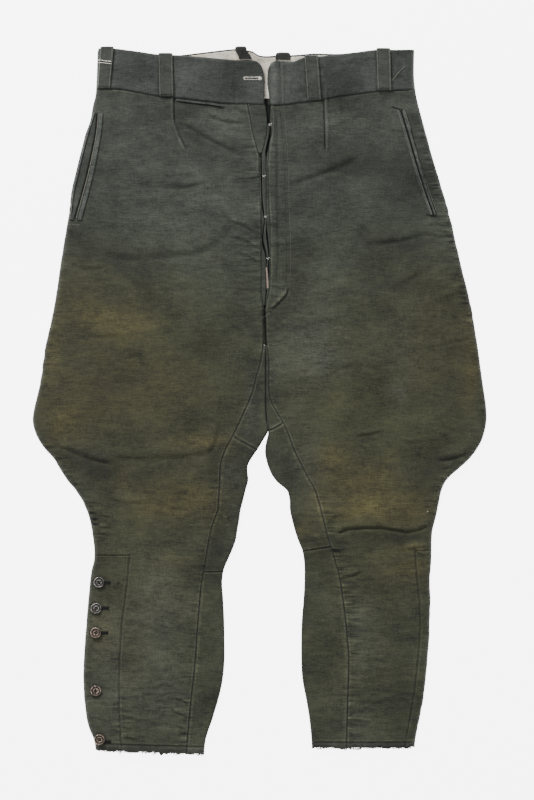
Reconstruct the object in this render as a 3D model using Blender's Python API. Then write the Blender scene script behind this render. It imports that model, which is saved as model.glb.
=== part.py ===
"""Uniform riding trousers laid flat with the front up, as closed cloth pieces.

The wearer's right leg is at -X, the waist is toward +Y and the cloth rests on z = 0.
Every table and size is in millimetres; the meshes are written in metres.
"""
import math

import bmesh
import bpy
from mathutils import Vector
from mathutils.bvhtree import BVHTree

MM = 0.001

# Cloth walls and how the layers lie on each other
CLOTH = 2.0
BAND = 3.0
LINING = 1.0
LOOP = 1.5
WELT = 1.2
SEAM_GAP = 0.3
EDGE_TOP = 5.2
PUFF = 2.3
PUFF_REACH = 48.0
BAND_RISE = 1.4
OUTER_ROLL = 5.0
INNER_ROLL = 2.4
FLOOR_CLEAR = 3.4
ROLL_STEPS = 4
TURN_STEPS = 5

# Heights across both legs
FORK_Y = 78.4
FORK_BLEND = 50.0
WAIST_FADE = 85.0
HEM_TILT = 0.037

# Each leg: height, outer edge, side seam, tuck line, front panel's inner edge, leg's inner edge
#    y, outer, side, tuck, front, inner
LEGS = {
    "right": [
        (497.0, -223.3, -178.5, -119.7, -16.8, 8.5),
        (491.4, -225.3, -178.7, -119.7, -16.8, 8.5),
        (477.4, -226.1, -179.2, -119.7, -16.8, 8.5),
        (443.8, -227.5, -180.3, -119.7, -16.8, 8.5),
        (427.0, -228.9, -180.9, -119.7, -16.8, 8.5),
        (415.1, -232.0, -181.4, -119.4, -16.8, 8.5),
        (393.4, -235.9, -184.8, -118.7, -12.7, 8.5),
        (373.8, -242.9, -187.9, -113.4, -9.2, 8.5),
        (358.4, -246.9, -190.4, -105.6, -5.2, 8.5),
        (344.4, -250.5, -192.6, -101.1, -1.1, 8.5),
        (320.6, -256.3, -196.3, -100.0, 0.1, 8.5),
        (296.8, -261.9, -200.1, -98.8, 1.4, 8.5),
        (267.4, -265.4, -204.9, -97.3, 2.1, 8.5),
        (225.4, -272.3, -211.8, -99.6, 2.1, 8.5),
        (183.4, -279.0, -218.0, -102.0, 2.1, 8.5),
        (155.4, -282.9, -221.5, -103.5, 2.1, 8.5),
        (130.2, -287.1, -224.7, -105.7, 4.3, 8.5),
        (113.4, -290.5, -226.8, -107.8, 4.3, 8.5),
        (78.4, -298.3, -230.7, -112.2, 4.3, 8.1),
        (64.4, -300.6, -231.6, -113.9, 2.9, 8.1),
        (29.4, -305.9, -233.8, -118.3, -6.1, 8.2),
        (9.8, -309.8, -235.0, -120.7, -11.2, 8.2),
        (-12.6, -315.1, -236.4, -123.5, -20.8, 8.3),
        (-26.6, -316.8, -237.3, -125.3, -27.0, 9.2),
        (-40.6, -314.3, -232.0, -124.9, -33.7, 10.8),
        (-54.6, -308.1, -226.8, -124.6, -41.0, 3.5),
        (-68.6, -298.2, -221.5, -124.2, -48.3, -4.9),
        (-82.6, -285.6, -216.3, -123.9, -53.3, -14.4),
        (-89.6, -281.4, -213.1, -123.7, -55.0, -17.8),
        (-96.6, -277.2, -210.0, -123.5, -55.4, -18.6),
        (-110.6, -268.1, -203.7, -123.2, -56.0, -17.5),
        (-124.6, -256.9, -197.4, -122.8, -56.7, -21.1),
        (-138.6, -247.7, -191.1, -122.5, -57.7, -24.5),
        (-152.6, -241.1, -188.8, -123.0, -58.6, -28.1),
        (-166.6, -236.5, -186.5, -123.4, -63.8, -30.1),
        (-180.6, -233.8, -184.2, -123.9, -68.3, -32.6),
        (-194.6, -231.7, -181.9, -124.4, -71.0, -34.9),
        (-208.6, -230.3, -181.9, -124.8, -73.4, -39.9),
        (-222.6, -230.6, -182.4, -125.3, -75.5, -46.1),
        (-236.6, -233.9, -183.8, -126.7, -78.2, -51.7),
        (-250.6, -235.9, -185.1, -128.1, -80.9, -53.9),
        (-278.6, -238.7, -188.3, -130.9, -83.9, -52.5),
        (-312.2, -241.6, -192.9, -134.3, -86.7, -51.0),
        (-334.6, -243.2, -194.3, -136.5, -88.3, -50.7),
        (-362.6, -245.0, -196.1, -137.5, -90.3, -50.7),
        (-390.6, -245.7, -196.7, -138.5, -93.0, -53.3),
        (-418.6, -244.3, -196.7, -139.5, -96.2, -59.5),
        (-432.6, -242.9, -196.5, -140.0, -97.7, -63.7),
        (-446.6, -240.9, -195.7, -140.5, -98.9, -67.9),
        (-460.6, -237.0, -195.0, -141.0, -100.2, -72.9),
        (-474.6, -231.0, -194.2, -141.5, -101.4, -77.0),
        (-491.4, -228.1, -193.5, -142.1, -102.9, -79.1),
    ],
    "left": [
        (497.0, 214.6, 163.1, 87.5, 15.4, 8.5),
        (443.8, 215.2, 166.8, 89.0, 15.1, 8.5),
        (427.0, 217.7, 167.9, 89.5, 15.0, 8.5),
        (414.4, 220.6, 169.0, 89.9, 15.0, 8.5),
        (387.8, 227.6, 175.0, 90.7, 14.1, 8.5),
        (379.4, 229.8, 176.8, 91.2, 15.8, 8.5),
        (357.0, 235.9, 181.9, 92.6, 12.6, 8.5),
        (330.4, 243.6, 187.8, 94.4, 11.2, 8.5),
        (309.4, 249.9, 192.5, 95.9, 11.5, 8.5),
        (281.4, 258.3, 197.8, 97.8, 11.9, 8.5),
        (245.0, 267.7, 204.6, 100.7, 14.0, 8.5),
        (218.4, 273.8, 209.6, 103.1, 14.2, 8.5),
        (183.4, 282.0, 215.6, 106.2, 14.4, 8.5),
        (155.4, 289.0, 219.8, 108.7, 12.9, 8.5),
        (134.4, 293.8, 222.9, 110.6, 8.5, 8.5),
        (106.4, 298.7, 227.1, 113.4, 8.5, 8.5),
        (78.4, 303.2, 230.7, 116.2, 12.3, 9.0),
        (57.4, 306.2, 232.0, 118.3, 12.4, 9.0),
        (29.4, 310.1, 233.8, 121.1, 12.6, 9.1),
        (8.4, 313.2, 235.1, 123.2, 13.8, 9.2),
        (-5.0, 315.1, 236.0, 124.5, 17.8, 9.2),
        (-16.1, 316.0, 236.6, 125.6, 24.1, 9.3),
        (-26.6, 316.0, 237.3, 126.7, 30.6, 10.2),
        (-37.8, 314.4, 235.1, 129.8, 36.3, 12.7),
        (-46.2, 312.2, 233.4, 132.1, 39.7, 12.7),
        (-54.6, 309.5, 231.7, 134.4, 43.0, 10.8),
        (-68.6, 301.7, 228.9, 138.2, 48.2, 8.3),
        (-82.6, 290.5, 226.1, 142.1, 54.8, 10.2),
        (-96.6, 275.1, 223.3, 145.9, 62.2, 14.7),
        (-105.0, 265.3, 221.6, 148.3, 66.6, 18.9),
        (-113.4, 258.3, 219.9, 150.6, 71.2, 25.3),
        (-124.6, 253.3, 217.7, 153.6, 77.3, 38.5),
        (-138.6, 249.9, 214.9, 157.5, 81.9, 42.7),
        (-152.6, 247.1, 215.7, 159.4, 85.6, 43.3),
        (-166.6, 244.0, 216.4, 161.2, 89.2, 46.3),
        (-180.6, 240.4, 217.2, 163.1, 92.7, 50.0),
        (-194.6, 239.1, 218.0, 165.0, 96.7, 54.5),
        (-208.6, 238.9, 218.2, 166.8, 100.9, 60.3),
        (-222.6, 238.7, 218.4, 168.7, 105.0, 62.9),
        (-250.6, 236.5, 220.7, 170.1, 112.4, 63.7),
        (-278.6, 237.3, 223.7, 171.5, 116.6, 62.3),
        (-308.0, 236.3, 224.9, 173.0, 120.3, 59.9),
        (-334.6, 235.5, 224.1, 174.3, 122.7, 59.2),
        (-351.4, 234.2, 222.8, 173.4, 124.2, 59.1),
        (-390.6, 230.6, 218.8, 171.2, 124.2, 60.9),
        (-418.6, 227.1, 215.2, 169.7, 123.2, 66.2),
        (-446.6, 221.9, 210.1, 168.2, 122.3, 70.7),
        (-474.6, 216.3, 204.8, 166.7, 121.5, 73.5),
        (-488.6, 214.9, 203.7, 165.9, 121.1, 74.3),
    ],
}

# Waist seam of each side: x, y
WAIST_SEAM = {
    "right": [(-227.5, 438.2), (-193.9, 436.8), (-142.1, 427.0), (-121.1, 425.0), (-48.3, 416.5), (6.3, 415.5)],
    "left": [(14.7, 414.7), (28.7, 414.4), (64.4, 418.6), (84.7, 422.0), (116.9, 427.6), (165.9, 434.0),
             (216.3, 436.8)],
}

# Rows of cloth cells down each leg: height of the row, part of the leg below it
ROWS = {
    "right": [
        (415.2, "thigh"), (404.6, "thigh"), (390.6, "thigh"), (373.8, "thigh"), (354.2, "thigh"),
        (330.4, "thigh"), (303.8, "thigh"), (275.8, "thigh"), (245.0, "thigh"), (214.2, "thigh"),
        (183.4, "thigh"), (152.6, "thigh"), (124.6, "thigh"), (99.4, "thigh"), (78.4, "crotch"),
        (54.6, "crotch"), (29.4, "crotch"), (4.2, "crotch"), (-18.2, "crotch"), (-40.6, "crotch"),
        (-54.6, "crotch"), (-67.05, "gusset seam"), (-67.35, "knee"), (-79.8, "knee"), (-91.0, "knee"),
        (-102.2, "knee"), (-116.2, "knee"), (-133.0, "knee"), (-149.8, "knee"), (-166.6, "knee"),
        (-186.2, "knee"), (-203.0, "knee"), (-216.85, "placket seam"), (-217.15, "upper calf"),
        (-228.2, "upper calf"), (-239.25, "patch seam"), (-239.55, "calf"), (-261.8, "calf"),
        (-292.6, "calf"), (-329.0, "calf"), (-368.2, "calf"), (-407.4, "calf"), (-443.8, "calf"),
        (-469.0, "calf"), (-482.15, "hem seam"), (-482.45, "hem"), (-492.1, "end"),
    ],
    "left": [
        (415.0, "thigh"), (404.6, "thigh"), (390.6, "thigh"), (373.8, "thigh"), (354.2, "thigh"),
        (330.4, "thigh"), (303.8, "thigh"), (275.8, "thigh"), (245.0, "thigh"), (214.2, "thigh"),
        (183.4, "thigh"), (152.6, "thigh"), (124.6, "thigh"), (99.4, "thigh"), (78.4, "crotch"),
        (54.6, "crotch"), (29.4, "crotch"), (8.4, "crotch"), (-9.8, "crotch"), (-26.6, "crotch"),
        (-40.45, "gusset seam"), (-40.75, "knee"), (-54.6, "knee"), (-68.6, "knee"), (-82.6, "knee"),
        (-96.6, "knee"), (-110.6, "knee"), (-121.8, "knee"), (-133.0, "knee"), (-147.0, "knee"),
        (-159.6, "knee"), (-168.5, "knee"), (-175.0, "knee"), (-180.0, "knee"), (-185.0, "knee"),
        (-197.4, "knee"), (-209.85, "patch seam"), (-210.15, "calf"), (-225.4, "calf"), (-247.8, "calf"),
        (-275.8, "calf"), (-306.6, "calf"), (-343.0, "calf"), (-382.2, "calf"), (-421.4, "calf"),
        (-452.2, "calf"), (-469.0, "calf"), (-477.95, "hem seam"), (-478.25, "hem"), (-485.8, "end"),
    ],
}

# How far a cross seam climbs from the leg's inner edge to the front panel: height, climb
CROSS_CLIMB = {
    "right": [(78.4, 0.0), (-67.2, 22.4), (-140.0, 0.0)],
    "left": [(20.0, 0.0), (-40.6, 11.8), (-90.0, 0.0), (-160.0, 0.0), (-210.0, 7.0), (-250.0, 0.0)],
}

# Soft folds of the top cloth: height, half width, path
FOLDS = {
    "right": [
        (1.3, 3.0, [(-119.7, 422.8), (-118.6, 390.6), (-112.1, 369.6), (-101.5, 351.4)]),
        (-1.4, 8.0, [(-279.3, -64.4), (-244.3, -77.0), (-205.1, -88.2)]),
        (0.9, 9.0, [(-290.5, -49.0), (-244.3, -60.2), (-206.5, -71.4)]),
        (1.6, 13.0, [(-198.1, -75.6), (-111.3, -75.6), (-74.9, -67.2), (-60.9, -37.8)]),
        (-1.1, 10.0, [(-198.1, -96.6), (-111.3, -96.6), (-63.7, -85.4)]),
        (-1.0, 9.0, [(-108.5, 383.6), (-62.3, 365.4), (-18.9, 338.8)]),
        (0.9, 8.0, [(-77.7, 400.4), (-23.1, 387.8)]),
        (-0.7, 9.0, [(-132.3, 292.6), (-73.5, 305.2)]),
        (-0.8, 14.0, [(-212.1, 200.2), (-153.3, 211.4), (-83.3, 203.0), (-32.9, 247.8)]),
    ],
    "left": [
        (1.3, 3.0, [(89.7, 417.2), (90.7, 387.8), (92.5, 355.6)]),
        (-1.2, 11.0, [(44.1, 302.4), (101.5, 323.4), (140.7, 340.2)]),
        (-1.0, 8.0, [(154.7, 218.4), (247.1, 235.9)]),
        (0.7, 9.0, [(157.5, 242.2), (249.9, 261.8)]),
        (-0.8, 9.0, [(182.7, 154.0), (233.1, 183.4)]),
        (-1.0, 5.0, [(135.9, -47.6), (171.5, -42.0)]),
        (-1.8, 7.0, [(254.1, -82.6), (297.5, -70.0)]),
        (1.1, 8.0, [(255.5, -68.6), (300.3, -54.6)]),
        (-1.7, 3.6, [(122.5, -185.5), (147.7, -184.8), (163.1, -182.0), (191.1, -184.1), (213.5, -181.3),
                     (238.7, -174.3)]),
        (2.2, 6.5, [(116.9, -175.0), (147.7, -175.0), (163.1, -172.9), (191.1, -175.0), (213.5, -171.5),
                    (235.9, -164.5)]),
        (-0.9, 4.0, [(114.1, -246.4), (143.5, -238.0)]),
        (-1.0, 4.0, [(56.7, -196.0), (91.7, -187.6)]),
    ],
}

# Which cells of a leg's sheet belong to each piece: zone across the leg, parts down the leg
ABOVE_CALF = ["thigh", "crotch", "gusset seam", "knee"]
WHOLE_LEG = ABOVE_CALF + ["placket seam", "upper calf", "patch seam", "calf"]
CUTS = {
    "right": {
        "front": {"front": WHOLE_LEG, "side": ABOVE_CALF, "side seam": ABOVE_CALF},
        "placket": {"side": ["upper calf", "patch seam", "calf"]},
        "gusset": {"wrap": ["crotch"]},
        "inner_knee": {"wrap": ["knee", "placket seam", "upper calf"]},
        "back": {"floor": WHOLE_LEG, "wrap": ["calf"], "turn seam": ["calf"]},
    },
    "left": {
        "front": {"front": WHOLE_LEG, "side": ABOVE_CALF, "side seam": ABOVE_CALF},
        "placket": {"side": ["calf"]},
        "gusset": {"wrap": ["crotch"]},
        "inner_knee": {"wrap": ["knee"]},
        "back": {"floor": WHOLE_LEG, "wrap": ["calf"], "turn seam": ["calf"]},
    },
}
HEM_ZONES = ["side", "side seam", "front", "inseam", "wrap", "turn seam", "floor"]

# Waistband sections from the fly to the side: x and y at the seam, x and y at the top edge
BANDS = {
    "right": [
        (5.9, 415.7, 5.2, 448.0), (1.4, 415.7, 1.4, 464.8), (-4.9, 415.8, -4.9, 473.2),
        (-11.9, 415.8, -11.9, 476.6), (-27.3, 415.9, -27.3, 476.6), (-48.3, 416.5, -48.3, 478.2),
        (-80.0, 420.2, -80.0, 481.0), (-114.1, 424.2, -114.1, 484.0), (-142.1, 427.0, -142.1, 485.1),
        (-172.0, 432.7, -172.0, 489.3), (-205.1, 437.6, -205.1, 493.9),
    ],
    "left": [
        (15.5, 414.7, 17.5, 473.8), (21.7, 414.5, 23.1, 476.0), (28.7, 414.4, 30.1, 475.2),
        (45.5, 416.1, 45.5, 474.6), (64.4, 418.6, 62.3, 480.9), (84.7, 422.0, 84.1, 482.2),
        (105.0, 425.3, 105.0, 484.7), (135.0, 430.0, 135.0, 488.2), (165.9, 434.0, 161.7, 491.4),
        (196.0, 435.8, 194.0, 491.9),
    ],
}
BAND_ROWS = [(0.0, -0.7), (0.06, 0.0), (0.5, 0.1), (0.94, 0.0), (1.0, -0.8)]

# Back waistband's top edge: x, y
BACK_TOP = [(-221.9, 488.6), (-181.3, 485.8), (-142.1, 483.0), (-109.9, 485.1), (-65.1, 490.4),
            (-49.0, 492.4), (-35.0, 493.6), (-22.7, 492.6), (-10.4, 490.2), (-2.1, 485.0), (4.6, 483.8),
            (9.1, 483.6), (14.0, 483.6), (19.6, 484.0), (31.8, 484.4), (44.1, 484.7), (58.0, 485.8),
            (74.9, 487.5), (105.7, 486.6), (161.7, 488.6), (210.7, 490.0)]
BACK_SIDES = (-222.0, 210.6)
LINING_SIDES = (-208.0, 197.0)
LINING_FOOT = 424.0
LINING_INSET = 2.2

# Belt loops: name, centre at the foot, centre at the top, width
FRONT_LOOPS = [
    ("belt_loop_side_right", -215.6, -215.2, 20.0),
    ("belt_loop_front_right", -131.5, -131.5, 21.0),
    ("belt_loop_front_left", 73.6, 72.6, 21.0),
    ("belt_loop_side_left", 172.6, 171.4, 21.0),
]
BACK_LOOPS = [
    ("belt_loop_back_right", -22.7, 20.4, 478.6),
    ("belt_loop_back_left", 31.8, 22.0, 477.6),
]
BACK_LOOP_FOOT = 423.0
BACK_LIFT = 1.9
LIFT_REACH = 13.0

# Strips that lie on the panels: path of the strip's middle line, width
WELTS = [
    ("pocket_welt_front_right", 6.6, [(-226.7, 403.4), (-232.6, 376.0), (-237.3, 354.0), (-243.0, 333.2),
                                      (-248.6, 308.0), (-254.2, 283.4), (-258.6, 254.0)]),
    ("pocket_welt_front_left", 3.4, [(192.6, 406.8), (202.6, 373.8), (215.9, 332.6), (227.2, 294.8),
                                     (239.6, 260.8)]),
    ("pocket_welt_back_left", 3.4, [(197.4, 406.4), (207.6, 372.4), (220.9, 331.0), (232.2, 293.2),
                                    (244.4, 260.2)]),
    ("watch_pocket_lip", 3.2, [(-117.0, 421.4), (-100.0, 419.2), (-83.3, 417.2), (-66.0, 415.2),
                               (-51.0, 412.6)]),
]

# Turned corner beside the fly: height, right edge
FACING = [(414.8, 7.0), (404.0, 9.0), (394.8, 10.0), (386.0, 10.0), (377.0, 9.6), (367.0, 7.6), (357.0, 5.6),
          (348.0, 3.0)]
FACING_DROP = 0.5

# Inner buttonhole strip: height, left edge, right edge
FLY_STRIP = [(350.0, -5.0, 7.8), (320.0, -3.8, 8.2), (285.0, -3.0, 8.4), (245.0, -2.2, 8.8),
             (205.0, -1.4, 9.2), (172.0, -1.2, 9.4), (156.0, -1.2, 8.0)]
FLY_STRIP_TOP = 5.0
FLY_STRIP_WALL = 1.4

# Calf buttons: x, y of the centre
BUTTONS = [(-225.1, -253.8), (-229.0, -290.1), (-229.6, -324.4), (-229.6, -405.6), (-224.6, -474.0)]
BUTTON_PROFILE = [(0.0, 0.0), (6.0, 0.0), (7.5, 1.0), (7.3, 2.3), (6.2, 2.5), (4.9, 1.5), (0.0, 1.3)]
BUTTON_SIDES = 20

# Materials: colour, roughness, metallic
MATERIALS = {
    "grey-green cloth": ((0.055, 0.066, 0.058), 0.95, 0.0),
    "inner-leg cloth": ((0.060, 0.068, 0.060), 0.95, 0.0),
    "waistband cloth": ((0.046, 0.056, 0.052), 0.93, 0.0),
    "cream lining": ((0.640, 0.560, 0.430), 0.90, 0.0),
    "binding cloth": ((0.040, 0.042, 0.036), 0.95, 0.0),
    "button metal": ((0.290, 0.255, 0.215), 0.45, 0.85),
}


def between(table, at, column=1):
    """Read a column of a table at a place, straight between its rows."""
    first, last = table[0], table[-1]
    rising = last[0] > first[0]
    for low, high in zip(table, table[1:]):
        inside = low[0] <= at <= high[0] if rising else high[0] <= at <= low[0]
        if inside:
            share = (at - low[0]) / (high[0] - low[0])
            return low[column] + (high[column] - low[column]) * share
    past_end = at > last[0] if rising else at < last[0]
    return last[column] if past_end else first[column]


def smooth(share):
    """Ease from 0 to 1."""
    share = min(max(share, 0.0), 1.0)
    return share * share * (3.0 - 2.0 * share)


def fold_height(x, y, side):
    """Add up the soft folds that pass near a point."""
    total = 0.0
    for height, width, path in FOLDS[side]:
        nearest = 1e9
        for (ax, ay), (bx, by) in zip(path, path[1:]):
            length = (bx - ax) ** 2 + (by - ay) ** 2
            share = min(max(((x - ax) * (bx - ax) + (y - ay) * (by - ay)) / length, 0.0), 1.0)
            nearest = min(nearest, math.hypot(x - ax - (bx - ax) * share, y - ay - (by - ay) * share))
        if nearest < 3.0 * width:
            total += height * math.exp(-(nearest / width) ** 2)
    return total


def cloth_height(x, y, side):
    """Height of the top cloth: low along the edges, puffed up between them, with its folds."""
    legs = LEGS[side]
    from_outer = abs(x - between(legs, y, 1)) - OUTER_ROLL
    from_inner = abs(x - between(legs, y, 5)) - INNER_ROLL
    above_fork = smooth((y - FORK_Y) / FORK_BLEND)
    inner_share = above_fork + (1.0 - above_fork) * smooth(from_inner / PUFF_REACH)
    edge_share = smooth(from_outer / PUFF_REACH) * inner_share
    quiet = smooth(from_outer / 14.0) * (above_fork + (1.0 - above_fork) * smooth(from_inner / 10.0))
    return EDGE_TOP + PUFF * edge_share + fold_height(x, y, side) * quiet


def row_height(x, y, side):
    """Bend a level row so that the top rows follow the waist seam and the last rows the hem."""
    seam = WAIST_SEAM[side]
    level = ROWS[side][0][0]
    top_share = max(0.0, 1.0 - (level - y) / WAIST_FADE)
    tilt = HEM_TILT if side == "right" else 0.0
    middle = -153.0
    hem_share = max(0.0, 1.0 - (y + 492.0) / 60.0)
    return y + (between(seam, x) - level) * top_share - (x - middle) * tilt * hem_share


def place(line_x, level, side):
    """Find where a line of the leg crosses a bent row."""
    y = level
    for _ in range(3):
        y = row_height(line_x(y), level, side)
    return line_x(y), y


def mix_lines(first, second, share):
    """Give a line part of the way between two others."""
    return lambda y: first(y) + (second(y) - first(y)) * share


def leg_row(side, level):
    """Give one row of a leg's cloth as outer points, inner points and zones across the leg."""
    legs = LEGS[side]
    inward = 1.0 if side == "right" else -1.0
    outer, seam, tuck, front, inner = [
        (lambda y, column=column: between(legs, y, column)) for column in (1, 2, 3, 4, 5)]
    half = inward * SEAM_GAP / 2.0
    outside, inside, zones = [], [], []

    # The rolled side edge, from the floor up onto the top
    x_edge, y_edge = place(outer, level, side)
    rise = cloth_height(x_edge + inward * OUTER_ROLL, y_edge, side)
    for step in range(ROLL_STEPS + 1):
        angle = math.pi / 2.0 * step / ROLL_STEPS
        away = 1.0 - math.cos(angle)
        x_out = x_edge + inward * OUTER_ROLL * away
        x_in = x_edge + inward * (OUTER_ROLL - (OUTER_ROLL - CLOTH) * math.cos(angle))
        outside.append(Vector((x_out, y_edge, rise * math.sin(angle))))
        inside.append(Vector((x_in, y_edge, (rise - CLOTH) * math.sin(angle))))
        zones.append("side")

    # The flat lines of the top, each a share of the way between two named lines
    rolled = lambda y: outer(y) + inward * OUTER_ROLL
    seam_out, seam_in = (lambda y: seam(y) - half), (lambda y: seam(y) + half)
    tuck_out, tuck_in = (lambda y: tuck(y) - inward * 3.5), (lambda y: tuck(y) + inward * 3.0)
    front_out = lambda y: front(y) - half
    lines = [(mix_lines(rolled, seam_out, 0.5), "side", 0.0), (seam_out, "side seam", 0.0),
             (seam_in, "front", 0.0), (mix_lines(seam_in, tuck_out, 0.5), "front", 0.0),
             (tuck_out, "front", 0.0), (tuck, "front", 0.0), (tuck_in, "front", 0.0)]
    lines += [(mix_lines(tuck_in, front_out, share), "front", share) for share in (0.22, 0.44, 0.66, 0.86)]
    lines.append((front_out, "inseam", 1.0))
    climb = between(CROSS_CLIMB[side], level)
    for line, zone, share in lines:
        y = place(line, level, side)[1] + climb * share
        x = line(y)
        z = cloth_height(x, y, side)
        outside.append(Vector((x, y, z)))
        inside.append(Vector((x, y, z - CLOTH)))
        zones.append(zone)

    # The strip that wraps onto the top at the leg's inner edge
    front_in = lambda y: front(y) + half
    turned = lambda y: inner(y) - inward * INNER_ROLL
    x_turn, y_turn = place(turned, level, side)
    for share in (0.0, 0.35, 0.7):
        x, y = place(mix_lines(front_in, turned, share), level, side)
        y += climb * (1.0 - share)
        x = front_in(y) + (turned(y) - front_in(y)) * share
        z = cloth_height(x, y, side)
        outside.append(Vector((x, y, z)))
        inside.append(Vector((x, y, z - CLOTH)))
        zones.append("wrap")
    middle = EDGE_TOP / 2.0
    for step in range(TURN_STEPS + 1):
        angle = math.pi * step / TURN_STEPS
        out = inward * math.sin(angle)
        outside.append(Vector((x_turn + out * INNER_ROLL, y_turn, middle + middle * math.cos(angle))))
        inside.append(Vector((x_turn + out * (INNER_ROLL - CLOTH), y_turn,
                              middle + (middle - CLOTH) * math.cos(angle))))
        zones.append("wrap")
    zones[-1] = "turn seam"

    # The sheet on the floor, back to the side edge
    below_fork = level <= FORK_Y
    start = (lambda y: turned(y) - half * 2.0) if below_fork else (lambda y: inner(y) - half)
    finish = lambda y: outer(y) + inward * FLOOR_CLEAR
    for share in (0.0, 0.33, 0.67, 1.0):
        x, y = place(mix_lines(start, finish, share), level, side)
        outside.append(Vector((x, y, 0.0)))
        inside.append(Vector((x, y, CLOTH)))
        zones.append("floor")
    zones[-1] = "end"
    return outside, inside, zones


def wall(name, material, outside, inside, keep=None, ring=False):
    """Close two grids of points into one cloth wall, with an edge along every border cell."""
    rows, columns = len(outside), len(outside[0])
    cells = {(i, j) for i in range(rows - 1) for j in range(columns if ring else columns - 1)
             if keep is None or keep(i, j)}
    shape = bmesh.new()
    made = {}

    def corner(layer, i, j):
        key = (layer, i, j % columns)
        if key not in made:
            grid = inside if layer else outside
            made[key] = shape.verts.new(grid[i][j % columns] * MM)
        return made[key]

    for i, j in sorted(cells):
        loop = [(i, j), (i + 1, j), (i + 1, j + 1), (i, j + 1)]
        shape.faces.new([corner(0, *at) for at in loop])
        shape.faces.new([corner(1, *at) for at in reversed(loop)])
        beside = [(i, j - 1), (i + 1, j), (i, j + 1), (i - 1, j)]
        for side, (start, stop) in zip(beside, zip(loop, loop[1:] + loop[:1])):
            if (side[0], side[1] % columns if ring else side[1]) not in cells:
                shape.faces.new([corner(0, *stop), corner(0, *start), corner(1, *start), corner(1, *stop)])
    return finish_piece(name, material, shape)


def finish_piece(name, material, shape):
    """Turn a closed bmesh into a named object with its own material."""
    bmesh.ops.triangulate(shape, faces=shape.faces[:])
    bmesh.ops.recalc_face_normals(shape, faces=shape.faces[:])
    mesh = bpy.data.meshes.new(name)
    shape.to_mesh(mesh)
    shape.free()
    colour, roughness, metallic = MATERIALS[material]
    look = bpy.data.materials.new(name)
    look.use_nodes = True
    shader = look.node_tree.nodes["Principled BSDF"]
    shader.inputs["Base Color"].default_value = (*colour, 1.0)
    shader.inputs["Roughness"].default_value = roughness
    shader.inputs["Metallic"].default_value = metallic
    mesh.materials.append(look)
    piece = bpy.data.objects.new(name, mesh)
    bpy.context.collection.objects.link(piece)
    return piece


def cut_leg(side):
    """Build one leg's sheet of cloth row by row and cut it into its pieces along the seams."""
    rows = [leg_row(side, level) for level, _ in ROWS[side]]
    outside = [row[0] for row in rows]
    inside = [row[1] for row in rows]
    zones = rows[0][2]
    parts = [part for _, part in ROWS[side]]
    pieces = []
    for piece, zone_parts in CUTS[side].items():
        material = "inner-leg cloth" if piece in ("gusset", "inner_knee") else "grey-green cloth"
        pieces.append(wall(f"{piece}_{side}", material, outside, inside,
                           lambda i, j: parts[i] in zone_parts.get(zones[j], [])))
    pieces.append(wall(f"hem_{side}", "binding cloth", outside, inside,
                       lambda i, j: parts[i] == "hem" and zones[j] in HEM_ZONES))
    return pieces


def first_row(side, zones_wanted):
    """Give the x and y of a leg's top edge over some of its zones, from left to right."""
    outside, _, zones = leg_row(side, ROWS[side][0][0])
    return sorted((point.x, point.y) for point, zone in zip(outside, zones) if zone in zones_wanted)


def front_band(side):
    """Build one front waistband, rolled over the side edge."""
    legs = LEGS[side]
    inward = 1.0 if side == "right" else -1.0
    roll = OUTER_ROLL + 0.5
    seam = first_row(side, ("side", "side seam", "front", "inseam"))
    sections = sorted(BANDS[side])
    shared = [x for x, _ in seam if sections[0][0] + 4.0 < x < sections[-1][0] - 4.0]
    places = sorted(set([section[0] for section in sections] + shared), reverse=side == "left")
    edge_foot = seam[0][1] if side == "right" else seam[-1][1]
    edge_head = between(sections, places[0], 3) + 0.3
    outside, inside = [], []
    for share, dip in BAND_ROWS:
        out_row, in_row = [], []
        y_side = edge_foot + SEAM_GAP + (edge_head - edge_foot - SEAM_GAP) * share
        x_edge = between(legs, y_side, 1)
        rise = cloth_height(x_edge + inward * roll, y_side, side) + BAND_RISE
        for step in range(ROLL_STEPS + 1):
            angle = math.pi / 2.0 * step / ROLL_STEPS
            x_out = x_edge + inward * roll * (1.0 - math.cos(angle))
            x_in = x_edge + inward * (roll - (roll - BAND) * math.cos(angle))
            out_row.append(Vector((x_out, y_side, (rise + dip) * math.sin(angle))))
            in_row.append(Vector((x_in, y_side, (rise - BAND) * math.sin(angle))))
        for x_foot in places:
            y_foot = between(seam, x_foot) + SEAM_GAP
            x = x_foot + (between(sections, x_foot, 2) - x_foot) * share
            y = y_foot + (between(sections, x_foot, 3) - y_foot) * share
            z = cloth_height(x, y, side) + BAND_RISE
            out_row.append(Vector((x, y, z + dip)))
            in_row.append(Vector((x, y, z - BAND)))
        outside.append(out_row)
        inside.append(in_row)
    return wall(f"waistband_{side}", "waistband cloth", outside, inside)


def back_lift(x):
    """Raise the back waistband over the belt loops that pass under it."""
    lift = 0.0
    for _, centre, width, _ in BACK_LOOPS:
        away = abs(x - centre) - width / 2.0 - 1.0
        lift = max(lift, BACK_LIFT * (1.0 - smooth(away / LIFT_REACH)))
    return lift


def spread(low, high, count):
    """Give evenly spaced places from low to high."""
    return [low + (high - low) * step / (count - 1) for step in range(count)]


def flat_band(name, material, sides, seam, foot, head, bottom, thickness):
    """Build a flat band that lies on the floor side, lifted over the back belt loops."""
    shared = [x for x, _ in BACK_TOP + seam if sides[0] < x < sides[1]]
    places = sorted(set(shared + list(sides)))
    outside, inside = [], []
    for share in (0.0, 0.5, 1.0):
        out_row, in_row = [], []
        for x in places:
            y = foot(x) + (head(x) - foot(x)) * share
            z = bottom + back_lift(x)
            out_row.append(Vector((x, y, z)))
            in_row.append(Vector((x, y, z + thickness)))
        outside.append(out_row)
        inside.append(in_row)
    return wall(name, material, outside, inside)


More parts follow.
